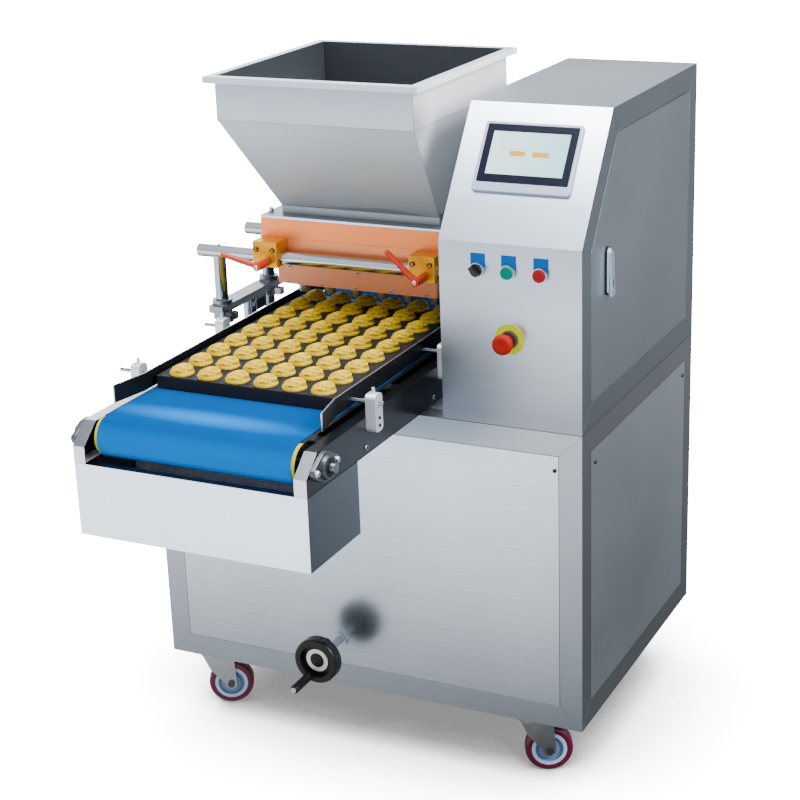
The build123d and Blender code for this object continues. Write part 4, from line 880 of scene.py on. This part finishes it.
def latch_button():
    """Small oval push button let into the latch blade."""
    place = Vector((right_face + 13.1 * MM, latch_y, latch_high.z - 62 * MM))
    profile = ((0, -1.2), (4.2, -1.2), (4.2, 0.2), (3.4, 0.5), (0, 0.6))
    bm = turned(bmesh.new(), Vector(), RIGHT, in_mm(profile), steps=24)
    oval = 1.9
    for vertex in outward(bm).verts:
        vertex.co.z *= oval
        vertex.co = place + latch_slope.to_track_quat("X", "Z").to_matrix() @ vertex.co
    return adopt(mesh_object("latch_button", bm, [legend_blue]), "door_latch", "chrome")


latch_button()
door_edge = inset_outline(console_side, 49.5 * MM)
# A pale bead along the door's back edge, a painted highlight line.
highlight_line = [(right_face - 0.5 * MM, *door_edge[step]) for step in (1, 2)]
seamed("door_beading", [highlight_line], body_of["cabinet_door"], "stainless_frame", edge_highlight_steel,
       width=0.8 * MM)
shade_line = [(right_face - 1.1 * MM, *door_edge[step]) for step in (2, 3, 4, 0, 1)]
seamed("door_gap_line", [shade_line], "base", "stainless_frame", seam_grey, width=0.8 * MM)

# Touch panel on the slanted console face
screen_centre = Vector((right_face - 146 * MM, -28.6 * MM, 1279 * MM))
slant_up = Vector((0, 0.5855, 0.8107))
slant_out = Vector((0, -0.8107, 0.5855))
screen_axes = (screen_centre, RIGHT, slant_up, slant_out)


def touch_panel():
    """Bezel with a thick lower band, navy glass let into it and a lit display with two plain keys."""
    bm = bmesh.new()
    rings = ((188, 134, 2, -36, 0), (188, 134, 2, -0.1, 0), (200, 146, 8, 0, 0), (200, 146, 8, 3.6, 0),
             (198.6, 144.6, 7.4, 5.6, 0), (196, 142, 6.4, 6.8, 0), (188, 122, 3, 7, 6.4),
             (186, 120, 2.4, 6.2, 6.4))
    lofted(bm, screen_axes, in_mm(rings), 0, 1)
    piece = mesh_object("touch_panel", outward(bm), [bezel_silver, glass_navy])
    shaded(piece, 30)
    adopt(piece, "base", "screen_bezel", "hmi_housing", "hmi_screen")
    half = 77 * MM
    ends = (screen_centre.x - half, screen_centre.x + half)
    lit = display_finish("lit display", *ends, (0.80, 1.0, 1.0), (0.42, 0.86, 0.92), 2.3)
    key = display_finish("amber key", *ends, (1.0, 0.46, 0.012), (1.0, 0.40, 0.008), 1.9)
    display = (0, 7.7, 156, 88, 6.35)
    left_key, right_key = (-21.5, 7.2, 31, 10.5, 6.5), (26, 7.2, 33, 10.5, 6.5)
    sheet_depth = 0.3
    bm = bmesh.new()
    for (across, up, width, height, rise), index in ((display, 0), (left_key, 1), (right_key, 1)):
        place = screen_centre + RIGHT * across * MM + slant_up * up * MM
        flat = ((width, height, 1, rise - sheet_depth, 0), (width, height, 1, rise, 0))
        lofted(bm, (place, RIGHT, slant_up, slant_out), in_mm(flat), index)
    piece = mesh_object("lit_display", outward(bm), [lit, key])
    adopt(piece, "base", "screen_glass")


touch_panel()

# Switches and the emergency stop
widest_legend, stop_body_top = 40 * MM, 1000 * MM
dressed("legend_plates", [legend_blue, legend_yellow], edge=0.2,
        island_rule=lambda low, high: always(int(high.x - low.x > widest_legend)))
dressed("switch_bodies", [machined, black_matt, bearing_grey], edge=0.8,
        rule=lambda centre, normal: int(centre.y > front_face + 1 * MM),
        island_rule=lambda low, high: always(2) if high.z < stop_body_top else None)
for node, made, edge in (("selector_knob", black_gloss, 0.8), ("start_button", cap_green, 0.6),
                         ("stop_button", cap_red, 0.6)):
    dressed(node, [made], edge)


def stop_mushroom():
    """Emergency stop: shallow dished mushroom with a rolled edge on a waisted stem."""
    low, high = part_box("estop_button")
    centre = Vector(((low.x + high.x) / 2, low.y, (low.z + high.z) / 2))
    profile = ((0, 0.9), (9, 0.5), (13, 0.1), (16.5, 0.9), (19, 3.2), (20, 6.4), (19.8, 12), (18.4, 15.4),
               (15, 17.6), (12.4, 18.2), (11, 22), (10.9, 58.5), (0, 58.5))
    bm = turned(bmesh.new(), centre, BACK, in_mm(profile), steps=56)
    piece = mesh_object("stop_mushroom", outward(bm), [mushroom_red])
    adopt(piece, "emergency_stop", "red_plastic", "estop_button")
    disc = Vector((centre.x, front_face - 1.0 * MM, centre.z))
    rim = ((28.6, -0.4), (28.6, 0.6), (29.6, 0.9), (30, 0.4), (30, -0.4))
    bm = turned(bmesh.new(), disc, FRONT, in_mm(rim), steps=56)
    adopt(mesh_object("stop_disc_rim", outward(bm), [legend_yellow]), "base", "legend_blue")


stop_mushroom()
dressed("control_modules", [module_grey], edge=1.0)


def module_fronts():
    """Dark window, cooling slots and terminal rows on the front of every control module."""
    plate_depth, terminal_pitch, terminal_inset, terminal_size = 20 * MM, 14 * MM, 9 * MM, 3.6 * MM
    window_foot, window_top, window_inset = 24 * MM, 40 * MM, 12 * MM
    slots, slot_foot, slot_pitch, slot_height, slot_inset = 5, 50 * MM, 7 * MM, 3 * MM, 16 * MM
    sunk, window_proud, slot_proud = 1 * MM, 1 * MM, 0.6 * MM
    modules = cad_copy("control_modules")
    bm = bmesh.new()
    terminals = []
    for group, low, high in islands_of(modules):
        if high.x - low.x < plate_depth:
            continue
        span = high.y - low.y
        count = int(span / terminal_pitch)
        for step in range(count):
            y = low.y + (step + 0.5) * span / count
            for z in (low.z + terminal_inset, high.z - terminal_inset):
                terminals.append((Vector((high.x, y, z)), RIGHT, terminal_size))
        blocked(bm, (high.x - sunk, low.y + window_inset, low.z + window_foot),
                (high.x + window_proud, high.y - window_inset, low.z + window_top))
        for step in range(slots):
            z = low.z + slot_foot + step * slot_pitch
            blocked(bm, (high.x - sunk, low.y + slot_inset, z),
                    (high.x + slot_proud, high.y - slot_inset, z + slot_height), 1)
    modules.free()
    piece = rounded(mesh_object("module_fronts", outward(bm), [glass_navy, black_matt]), 0.4 * MM)
    adopt(piece, "base", "module_plastic")
    fastened("module_terminals", socket_screw, terminals, "base", "module_plastic", machined, black_matt)


module_fronts()
dressed("conveyor_motor", [motor_grey], edge=2.0)

# Conveyor
drip_low, drip_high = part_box("drip_box")


def drip_part(centre, normal):
    """Painted shade on the end walls and upper edges, painted light on the inner back wall and the front.
    """
    if normal.z > SQUARE_ON and centre.z > drip_high.z - 1 * MM:
        return 2
    if normal.y < -SQUARE_ON and centre.y > drip_high.y - 10 * MM:
        return 3
    return int(abs(normal.x) > SQUARE_ON)


dressed("drip_box", [front_sheet_lit, side_sheet_shaded, dark_plate_shaded, inner_wall_painted_light], edge=0.8, rule=drip_part)


def drip_lip():
    """Polished lip folded in from the top of the box's front wall."""
    end_gap, lip_depth, lip_drop, lip_sheet = 3 * MM, 16 * MM, 12 * MM, 2 * MM
    left, right = drip_low.x + end_gap, drip_high.x - end_gap
    back = drip_low.y + lip_depth
    bm = bmesh.new()
    blocked(bm, (left, drip_low.y + 1 * MM, drip_high.z - 2.2 * MM), (right, back, drip_high.z - 0.2 * MM))
    blocked(bm, (left, back - lip_sheet, drip_high.z - lip_drop), (right, back, drip_high.z - 1.2 * MM))
    piece = rounded(mesh_object("drip_lip", outward(bm), [lip_steel]), 0.4 * MM)
    adopt(piece, "base", slot_of["drip_box"])


drip_lip()


def plate_part(centre, normal):
    """Painted light on the end face, painted shade on the end chamfer, the flange on top in its side's
    finish, and painted shade on the polished web.
    """
    if normal.y < -0.995:
        return 1
    if normal.y < -0.2:
        return 2
    return 3 if normal.z > SQUARE_ON else 0


def guide_part(centre, normal):
    """Painted highlight on the edges at the ends and along the top, dark polished faces."""
    return int(normal.z > SQUARE_ON or normal.y < -SQUARE_ON)


# The left flange takes painted light, the right one a painted-shade finish.
for side, flange in (("left", pale_aluminium_and_lit_faces), ("right", flange_steel)):
    dressed(f"conveyor_{side}_plate", [dark_plate_shaded, pale_aluminium_and_lit_faces, side_sheet_shaded, flange], edge=0.6,
            rule=plate_part)
    dressed(f"{side}_guide", [guide_steel, edge_highlight_steel], edge=0.4, rule=guide_part)
dressed("slider_bed", [machined])
cover_reach = belt_high.x - 1 * MM
front_axle = Vector((0, -534.5, 815.95)) * MM
rear_axle = Vector((0, 509.5, 821.95)) * MM


def lining_part(centre, normal):
    """Green where the belt's lower layer shows round the rollers, dark along the runs."""
    return 1 if centre.y < front_axle.y or centre.y > rear_axle.y else 2


dressed("conveyor_belt", [belt_blue_painted_light, belt_green, black_matt], edge=0.5,
        island_rule=lambda low, high: lining_part if high.x > cover_reach else None)
for node in ("front_roller", "rear_roller"):
    dressed(node, [arm_steel])
dressed("roller_bearings", [bearing_grey], edge=1.6)
bearing_low, bearing_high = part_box("roller_bearings")


def bearing_seals():
    """Dark seal round the shaft in the face of every bearing."""
    bm = bmesh.new()
    ring = ((10.3, -1.0), (10.3, 0.5), (12, 0.7), (17, 0.7), (18, 0.3), (18, -1.0), (10.3, -1.0))
    for axle in (front_axle, rear_axle):
        for x, out in ((bearing_low.x, LEFT), (bearing_high.x, RIGHT)):
            turned(bm, Vector((x, axle.y, axle.z)), out, in_mm(ring), steps=40)
    adopt(mesh_object("bearing_seals", outward(bm), [black_matt]), "base", "bearing_cast")


bearing_seals()
conveyor_side = 249 * MM
joint_lines = []
for joint_x in (lane_x - conveyor_side, lane_x + conveyor_side):
    joint_lines.append([(joint_x, drip_low.y + 1 * MM, deck_top), (joint_x, front_face, deck_top)])
seamed("channel_joints", joint_lines, "base", "conveyor_steel", black_matt, width=0.8 * MM)
dressed("guide_brackets", [pale_aluminium_and_lit_faces], edge=0.8)

# Casters
joints = record["behaviour"]["joints"]
axis_of = {joint["name"]: Vector(joint["axis"]) for joint in joints}
place_of = {joint["name"]: Vector(joint["pos_m"]) for joint in joints if "pos_m" in joint}
hub_rim, tyre_size, nut_reach = 28 * MM, 90 * MM, 8.6 * MM


def off_axis(place, middle, axis):
    """Distance of a place from an axis."""
    arm = place - middle
    return (arm - axis * arm.dot(axis)).length


def dress_fork(place):
    """Zinc fork with darker nuts on the ends of its axle."""
    axle, axis = place_of[f"wheel_{place}_spin"], axis_of[f"wheel_{place}_spin"]
    dressed(f"caster_fork_{place}", [zinc, bearing_grey], edge=0.8,
            rule=lambda centre, normal: int(off_axis(centre, axle, axis) < nut_reach))


def dress_wheel(place):
    """Plum tread on a blue grey hub whose rim is pale."""
    node, axis = f"caster_wheel_{place}", axis_of[f"wheel_{place}_spin"]
    wheel_low, wheel_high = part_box(node)
    middle = (wheel_low + wheel_high) / 2

    def hub_part(centre, normal):
        on_rim = off_axis(centre, middle, axis) > hub_rim and abs(normal.dot(axis)) > SQUARE_ON
        return 2 if on_rim else 1

    dressed(node, [tyre_purple, hub_blue, hub_pale], edge=0.8,
            island_rule=lambda low, high: hub_part if high.z - low.z < tyre_size else None)


dressed("caster_plates", [zinc], edge=0.8)
for place in ("front_left", "front_right", "rear_left", "rear_right"):
    dress_fork(place)
    dress_wheel(place)

# Depositing head
hopper_low, hopper_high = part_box("hopper")


def hopper_part(centre, normal):
    """Inner faces that look towards the middle in painted shade, the far one darkest, painted shade on the
    neck, faces square to X with their own painted light and shade, and the rest of the outside shaded by
    height.
    """
    if normal.x * (lane_x - centre.x) + normal.y * (head_y - centre.y) > 1e-4:
        return 2 if normal.y < -0.5 else 1
    if centre.z < hopper_low.z + 25 * MM:
        return 3
    return 4 if abs(normal.x) > SQUARE_ON else 0


def flange_part(centre, normal):
    """Painted highlight on the edges round a plate in the neck's painted-shade finish."""
    return int(abs(normal.z) < 0.5)


# Hopper sides with painted light and shade: darker towards the neck and a painted shadow spot at the front
# corner.
hopper_side_light_shade = steel("hopper side, painted light and shade", 0.82, 0.96, 0.40, 0.50, cool=0.1, metallic=0.05,
                    bands=((1.09, 0.55), (1.28, 0.74), (1.32, 0.80), (1.33, 1.0), (1.41, 1.0)),
                    sheen=((hopper_high.x, hopper_low.y, 1.33), (0.30, 0.13, 0.11), grey(0.28, 0.3)))
dressed("hopper", [stainless_hopper, hopper_inside_shade, hopper_shade, neck_steel, hopper_side_light_shade], edge=0.5,
        rule=hopper_part)
straight_z, taper_z = deck_top + 549 * MM, deck_top + 333 * MM
rim_x, rim_y, neck_x, neck_y, lip_drop = 220 * MM, 232 * MM, 185 * MM, 50 * MM, 13 * MM
fold_lines = []
for across in (-1, 1):
    for along in (-1, 1):
        upper = (lane_x + across * rim_x, head_y + along * rim_y)
        lower = (lane_x + across * neck_x, head_y + along * neck_y)
        fold_lines.append([(*upper, hopper_high.z - lip_drop), (*upper, straight_z), (*lower, taper_z)])
    fold_lines.append([(lane_x + across * rim_x, head_y + along * rim_y, straight_z) for along in (-1, 1)])
    fold_lines.append([(lane_x + along * rim_x, head_y + across * rim_y, straight_z) for along in (-1, 1)])
seamed("hopper_folds", fold_lines, "head", "stainless_hopper", seam_grey, width=0.35 * MM)
dressed("hopper_flange", [neck_steel, edge_highlight_steel], edge=0.6, rule=flange_part)
head_pieces = (
    ("valve_block", copper, 0.8), ("nozzle_manifold", copper_pale, 0.8), ("nozzles", machined, 0.5),
    ("valve_spool", machined, 0.6), ("valve_actuator", pale_aluminium_and_lit_faces, 1.0), ("piston_set", machined, 0.6),
    ("piston_cylinder", pale_aluminium_and_lit_faces, 1.0), ("support_rods", chrome, 2.0), ("clamp_blocks", gold, 1.0),
)
for node, made, edge in head_pieces:
    dressed(node, [made], edge)
stud_start, stud_slim = clamp_low.y - 0.5 * MM, 0.9
for side in ("left", "right"):
    lever = dressed(f"{side}_lever", [lever_red, dark_steel], edge=1.2,
                    rule=lambda centre, normal: int(centre.y > clamp_low.y - 5.5 * MM))
    stud = place_of[f"{side}_clamp_turn"]
    for vertex in lever.data.vertices:
        if vertex.co.y > stud_start:
            vertex.co.x = stud.x + stud_slim * (vertex.co.x - stud.x)
            vertex.co.z = stud.z + stud_slim * (vertex.co.z - stud.z)
for node, made, edge in (("lift_posts", post_steel, 0.8), ("lift_arms", arm_steel, 1.0),
                         ("lift_crosshead", motor_grey, 1.5), ("lift_jack", motor_grey, 2.0)):
    dressed(node, [made], edge)

# Baking tray and batter
dressed("baking_tray", [tray_coat], edge=1.0)
portion_low, portion_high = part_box("batter_portions")
portion_radius, portion_width, portion_lean = 24.4 * MM, 49 * MM, 6.2 * MM
portion_tip = (9.0 * MM, -0.6 * MM)
batter_hollows = ((3.75, 0.52, 0.24), (4.75, 0.40, 0.20), (4.2, 0.72, 0.18), (3.1, 0.36, 0.16),
                  (5.3, 0.62, 0.16))


def portion_reach(angle, rise):
    """Share of the radius at an angle and height, and how much painted shade the folds, hollows and dips
    get there.
    """
    right = max(0.0, math.cos(angle + 0.2)) ** 1.6
    dome = math.sqrt(max(0.0, 1 - rise ** 2.7)) * (1 - 0.30 * rise ** 6)
    steep = 1.0 - 0.52 * rise - 0.34 * rise ** 5
    fold = math.sin(2 * math.pi * (2.1 * rise + 0.16 * math.sin(3 * angle)) + 0.4)
    fold_depth = 0.045 * min(1, 6 * rise) * (1 - 0.6 * rise)
    share = dome + right * (steep + fold * fold_depth - dome)
    hollow = 0.0
    for spot_angle, spot_rise, size in batter_hollows:
        hollow += math.exp(-((angle - spot_angle) / size) ** 2 - ((rise - spot_rise) / (0.5 * size)) ** 2)
    around = Vector((math.cos(angle), math.sin(angle), 1.9 * rise))
    grain = noise.noise(around * 2.4)
    fine = noise.noise(around * 6.5 + Vector((4, 1, 2)))
    ripple = (0.045 * grain + 0.026 * fine) * min(1, 6 * rise)
    # Painted shade in the folds, hollows and dips.
    hollow_shade = 0.4 * right * max(0.0, -fold) ** 1.5 + 0.6 * hollow
    hollow_shade += 0.8 * max(0.0, -grain) * rise + 1.3 * max(0.0, -fine)
    return share - 0.09 * hollow + ripple, min(1.0, hollow_shade)


def batter_portion():
    """One piped portion: full dome on the left, small peak drawn up to the right, folds and hollows that
    store their painted shade.
    """
    height = (portion_high.z - portion_low.z) * 0.985
    rings, steps = 24, 46
    bm = bmesh.new()
    shade_layer = bm.verts.layers.float.new("hollow_shade")
    loops = []
    for ring in range(rings):
        rise = ring / rings
        lean = portion_lean * rise ** 1.8
        tucked = 1 if ring else 0.95
        loop = []
        for step in range(steps):
            angle = 2 * math.pi * step / steps
            share, hollow_shade = portion_reach(angle, rise)
            reach = portion_radius * min(1.0, max(0.10, share)) * tucked
            across = min(reach * math.cos(angle) + lean, portion_radius)
            vertex = bm.verts.new((across, reach * math.sin(angle), height * 0.93 * rise ** 0.94))
            vertex[shade_layer] = hollow_shade
            loop.append(vertex)
        loops.append(loop)
    loops.append([bm.verts.new((*portion_tip, height))])
    for first, second in zip(loops, loops[1:]):
        bridged(bm, first, second)
    bm.faces.new(loops[0][::-1])
    piece = mesh_object("batter_portions_finished", outward(bm), [batter])
    columns, rows = 6, 9
    size = portion_high - portion_low
    centre = (portion_low + portion_high) / 2
    grown(piece, PORTIONS, {
        "Columns": columns, "Rows": rows, "Centre": (centre.x, centre.y, portion_low.z),
        "Column Pitch": (size.x - portion_width) / (columns - 1),
        "Row Pitch": (size.y - portion_width) / (rows - 1),
        "Turn": 0.12, "Seed": 7, "Finish": batter})
    shaded(piece, 70)
    return adopt(piece, "tray", "batter", "batter_portions")


batter_portion()

# Handwheel
grip_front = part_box("handwheel_handle")[0].y


def wheel_part(centre, normal):
    """Silver for the pin's head in front of the handle, black for the rest."""
    return int(centre.y < grip_front + 0.2 * MM)


def wheel_island(low, high):
    """The ring let into the hub is pale; the body and the cap follow the rule."""
    return always(2) if 45 * MM < high.x - low.x < 55 * MM else None


dressed("handwheel", [black_gloss, machined, pale_aluminium_and_lit_faces], edge=0.8, rule=wheel_part,
        island_rule=wheel_island)
dressed("handwheel_shaft", [machined])
dressed("handwheel_handle", [black_gloss], edge=0.6)


# Screws, bolts and nuts
def both_ends(low, high, inset):
    """Two places set in from the ends of a span."""
    return low + inset, high - inset


def share_of(span, share):
    """Place at a share of a span."""
    return span[0] + share * (span[1] - span[0])


panel_row, panel_inset, panel_screw = 697 * MM, 56 * MM, 4.2 * MM
side_recess = 2.8 * MM
bracket_low, bracket_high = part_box("guide_brackets")
bracket_inset, bracket_screw, box_screw = 15 * MM, 3.4 * MM, 3.2 * MM
panel_screws = []
for x in both_ends(left_face, right_face, panel_inset):
    for y, out in ((front_face, FRONT), (back_face, BACK)):
        panel_screws.append((Vector((x, y, panel_row)), out, panel_screw))
for y in (front_face + 72 * MM, back_face - 66 * MM):
    for x, out in ((right_face, RIGHT), (left_face + side_recess, LEFT)):
        panel_screws.append((Vector((x, y, panel_row)), out, panel_screw))
for y in both_ends(bracket_low.y, bracket_high.y, bracket_inset):
    for rise in (12 * MM, 27 * MM):
        for x, out in ((bracket_high.x, RIGHT), (bracket_low.x, LEFT)):
            panel_screws.append((Vector((x, y, bracket_low.z + rise)), out, bracket_screw))
for across in (65, 190, 437, 488):
    place = drip_low + Vector((across, 9, 0)) * MM
    panel_screws.append((place, DOWN, box_screw))
fastened("panel_screws", socket_screw, panel_screws, "base", "stainless_panel", dark_steel, black_matt)

bearing_face, ear_reach, ear_bolt = conveyor_side + 10 * MM, 38 * MM, 6.4 * MM
web_row, web_screw = 789.5 * MM, 5 * MM
plate_bottom, plate_bolt = base_bottom - 5 * MM, 5 * MM
hole_across, hole_along = 40 * MM, 32 * MM
bolts, web_screws = [], []
for side, out in ((-1, LEFT), (1, RIGHT)):
    for axle in (front_axle, rear_axle):
        for ear in (-ear_reach, ear_reach):
            bolts.append((Vector((lane_x + side * bearing_face, axle.y + ear, axle.z)), out, ear_bolt))
    for along in (-362, -60, 240, 400):
        web_screws.append((Vector((lane_x + side * conveyor_side, along * MM, web_row)), out, web_screw))
for x in (left_face + 72 * MM, right_face - 132 * MM):
    for y in (-78.5 * MM, 511.5 * MM):
        for hole_x in (x - hole_across, x + hole_across):
            for hole_y in (y - hole_along, y + hole_along):
                bolts.append((Vector((hole_x, hole_y, plate_bottom)), DOWN, plate_bolt))
fastened("frame_bolts", hex_bolt, bolts, "base", "zinc", machined, dark_steel)
fastened("web_screws", socket_screw, web_screws, "base", "conveyor_steel", machined, black_matt)

left_block = (lane_x - 220 * MM, lane_x - 161 * MM)
right_block = (lane_x + 147 * MM, lane_x + 206 * MM)
clamp_row, clamp_screw = clamp_high.z - 0.32 * (clamp_high.z - clamp_low.z), 5.6 * MM
head_screws = []
for span in (left_block, right_block):
    for share in (0.16, 0.82):
        for y, out in ((clamp_low.y, FRONT), (clamp_high.y, BACK)):
            head_screws.append((Vector((share_of(span, share), y, clamp_row)), out, clamp_screw))
fastened("clamp_screws", socket_screw, head_screws, "head", "gold_block", dark_steel, gold)

manifold_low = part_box("nozzle_manifold")[0]
rod_low, rod_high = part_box("support_rods")
rod_radius = 14 * MM
rod_rows = both_ends(rod_low.y, rod_high.y, rod_radius)
post_left = left_face + 60 * MM
upper_row = ((-159, 5, 169), 982.5 * MM, 4.0 * MM)
lower_row = ((-164, -82, 0, 82, 164), manifold_low.z + 5 * MM, 3.0 * MM)
plate_screws = []
for places, z, size in (upper_row, lower_row):
    for across in places:
        plate_screws.append((Vector((lane_x + across * MM, manifold_low.y, z)), FRONT, size))
for y in rod_rows:
    plate_screws.append((Vector((post_left, y, rod_high.z)), UP, 4.2 * MM))
fastened("plate_screws", socket_screw, plate_screws, "head", "shaft_steel", machined, black_matt)

nuts = []
for x in both_ends(flange_low.x, flange_high.x, 11 * MM):
    for y in both_ends(flange_low.y, flange_high.y, 30 * MM):
        nuts.append((Vector((x, y, flange_high.z)), UP, 6.5 * MM))
fastened("flange_nuts", acorn_nut, nuts, "head", "shaft_steel", machined, dark_steel)
clamp_bolts = []
for span in (left_block, right_block):
    for share in (0.3, 0.72):
        clamp_bolts.append((Vector((share_of(span, share), rod_rows[0], clamp_low.z)), DOWN, 8 * MM))
fastened("clamp_bolts", hex_bolt, clamp_bolts, "head", "shaft_steel", machined, dark_steel)
lever_shift, lever_reach, lever_row, lever_screw = 7 * MM, 49.4 * MM, 1003 * MM, 5.2 * MM
for side, span in (("left", left_block), ("right", right_block)):
    place = Vector(((span[0] + span[1]) / 2 + lever_shift, clamp_low.y - lever_reach, lever_row))
    fastened(f"{side}_lever_screw", socket_screw, [(place, FRONT, lever_screw)], f"{side}_clamp",
             "lever_red", chrome, machined)

# Lift fittings: split collars under the arms, clamp knob and position plate
arm_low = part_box("lift_arms")[0]


def lift_fittings():
    """Collars and sleeves under both ends of the left arm, with a framed position plate between them."""
    collar = ((6.2, 0), (20, 0), (21, 1), (21, 17), (20, 18), (11.5, 18), (11.5, 52), (10.5, 53), (6.2, 53),
              (6.2, 0))
    bm = bmesh.new()
    for y in rod_rows:
        top = Vector((post_left, y, arm_low.z))
        turned(bm, top, DOWN, in_mm(collar), steps=40)
        blocked(bm, top + Vector((14, -9, -17)) * MM, top + Vector((34, 9, -1)) * MM)
    outward(bm)
    plate_x, plate_front, plate_back = post_left + 19 * MM, 166 * MM, 233 * MM
    blocked(bm, (plate_x - 2 * MM, plate_front, 845 * MM), (plate_x, plate_back, arm_low.z))
    blocked(bm, (plate_x - 1 * MM, plate_front + 5 * MM, 849 * MM),
            (plate_x + 0.4 * MM, plate_back - 6 * MM, 869 * MM), 1)
    piece = rounded(mesh_object("lift_fittings", bm, [arm_steel, black_gloss]), 0.6 * MM)
    adopt(piece, "head", "bracket_aluminium")


def lift_knob():
    """Lobed knob that clamps the front collar."""
    centre = Vector((post_left + 26 * MM, rod_low.y + 4 * MM, arm_low.z - 9 * MM))
    profile = ((0, 0), (6, 0), (6, 5), (12, 6), (13, 9), (13, 15), (11, 18), (0, 19))
    neck, lobes, lobe_depth = 7 * MM, 5, 0.12
    bm = turned(bmesh.new(), centre, FRONT, in_mm(profile), steps=60)
    for vertex in outward(bm).verts:
        arm = vertex.co - centre
        if math.hypot(arm.x, arm.z) > neck:
            lobe = 1 - lobe_depth * (1 + math.cos(lobes * math.atan2(arm.z, arm.x)))
            vertex.co = centre + Vector((arm.x * lobe, arm.y, arm.z * lobe))
    adopt(mesh_object("lift_knob", bm, [dark_steel]), "head", "shaft_steel")


lift_fittings()
lift_knob()

# Floor, light and camera
sky_heading = Vector((-0.30, -0.40, 0.87)).normalized()
sky_span, sky_strength, sky_colour = (-0.7, 0.95), (0.28, 1.25), (0.96, 0.98, 1.0)
# Floor glow: a painted reflection gradient for the metal and a painted contact shadow for the camera.
floor_heading = Vector((-0.45, -0.89, 0))
floor_white, floor_dark = 24.0, 0.31
near_span, near_strength = (-0.05, 2.1), (0.15, 2.9)
far_span, far_strength = (-4.2, -0.9), (0.24, 0.0)
shadow_reach, shadow_span, shadow_curve = 0.44, (0.25, 0.97), 2.2
floor_half = 40
lamp_target = Vector((0, 0, 0.8))
lamps = (
    ("key", (-0.6, -0.9, 4.9), 2.0, 330),
    ("overhead", (0.0, 1.4, 4.6), 3.0, 120),
    ("right_fill", (3.2, -0.2, 2.9), 2.0, 270),
    ("back_strip", (-1.7, 2.6, 2.2), 1.0, 16),
)


def towards(tree, vector, heading):
    """How far a vector points along a heading; gives the socket."""
    return vector_node(tree, "DOT_PRODUCT", vector, heading)["Value"]


def floor_finish():
    """Glowing white floor with a painted soft contact shadow from occlusion; the glow that the metal sees
    of it is painted dimmer behind and to the right.
    """
    made = bpy.data.materials.new("white floor")
    made.use_nodes = True
    tree = made.node_tree
    tree.nodes.remove(tree.nodes["Principled BSDF"])
    ahead = towards(tree, object_place(tree), floor_heading)
    near = mapped(tree, ahead, *near_span, *near_strength)
    far = mapped(tree, ahead, *far_span, *far_strength)
    flat = tree.nodes.new("ShaderNodeEmission")
    open_sky = tree.nodes.new("ShaderNodeAmbientOcclusion")
    open_sky.samples = 16
    open_sky.inputs["Distance"].default_value = shadow_reach
    light = mapped(tree, open_sky.outputs["AO"], *shadow_span, 0.0, 1.0)
    rise = math_node(tree, "POWER", light, shadow_curve)
    white = math_node(tree, "ADD", math_node(tree, "MULTIPLY", rise, floor_white), floor_dark)
    glow = tree.nodes.new("ShaderNodeEmission")
    mix = tree.nodes.new("ShaderNodeMixShader")
    linked(tree, (math_node(tree, "ADD", near, far), flat.inputs["Strength"]),
           (white, glow.inputs["Strength"]),
           (tree.nodes.new("ShaderNodeLightPath").outputs["Is Camera Ray"], mix.inputs["Fac"]),
           (flat.outputs["Emission"], mix.inputs[1]), (glow.outputs["Emission"], mix.inputs[2]),
           (mix.outputs["Shader"], tree.nodes["Material Output"].inputs["Surface"]))
    return made


def studio():
    """White floor, a sky that dims behind and to the right, and soft lights."""
    bm = bmesh.new()
    bmesh.ops.create_grid(bm, x_segments=1, y_segments=1, size=floor_half)
    mesh_object("floor", bm, [floor_finish()])
    world = bpy.data.worlds.new("studio")
    bpy.context.scene.world = world
    world.use_nodes = True
    tree = world.node_tree
    backdrop = tree.nodes["Background"]
    aim = towards(tree, tree.nodes.new("ShaderNodeTexCoord").outputs["Generated"], sky_heading)
    linked(tree, (mapped(tree, aim, *sky_span, *sky_strength), backdrop.inputs["Strength"]))
    backdrop.inputs["Color"].default_value = opaque(sky_colour)
    for name, place, size, power in lamps:
        lamp = bpy.data.lights.new(name, "AREA")
        lamp.size = size
        lamp.energy = power
        holder = placed(name, lamp)
        holder.location = place
        holder.rotation_mode = "QUATERNION"
        holder.rotation_quaternion = (lamp_target - Vector(place)).to_track_quat("-Z", "Y")
        holder.visible_camera = False


def photo_camera():
    """Camera solved from the photograph's straight edges."""
    yaw, pitch, roll = (math.radians(value) for value in (camera_yaw, camera_pitch, camera_roll))
    ahead = Vector((-math.sin(yaw) * math.cos(pitch), math.cos(yaw) * math.cos(pitch), -math.sin(pitch)))
    level = Vector((math.cos(yaw), math.sin(yaw), 0))
    upright = level.cross(ahead)
    across = math.cos(roll) * level + math.sin(roll) * upright
    upward = math.cos(roll) * upright - math.sin(roll) * level
    lens = bpy.data.cameras.new("photo")
    lens.lens = camera_lens
    lens.sensor_width = camera_sensor
    lens.clip_end = camera_far
    camera = placed("photo", lens)
    turn = Matrix((across, upward, -ahead)).transposed().to_4x4()
    camera.matrix_world = Matrix.Translation(camera_place) @ turn
    bpy.context.scene.camera = camera


studio()
photo_camera()
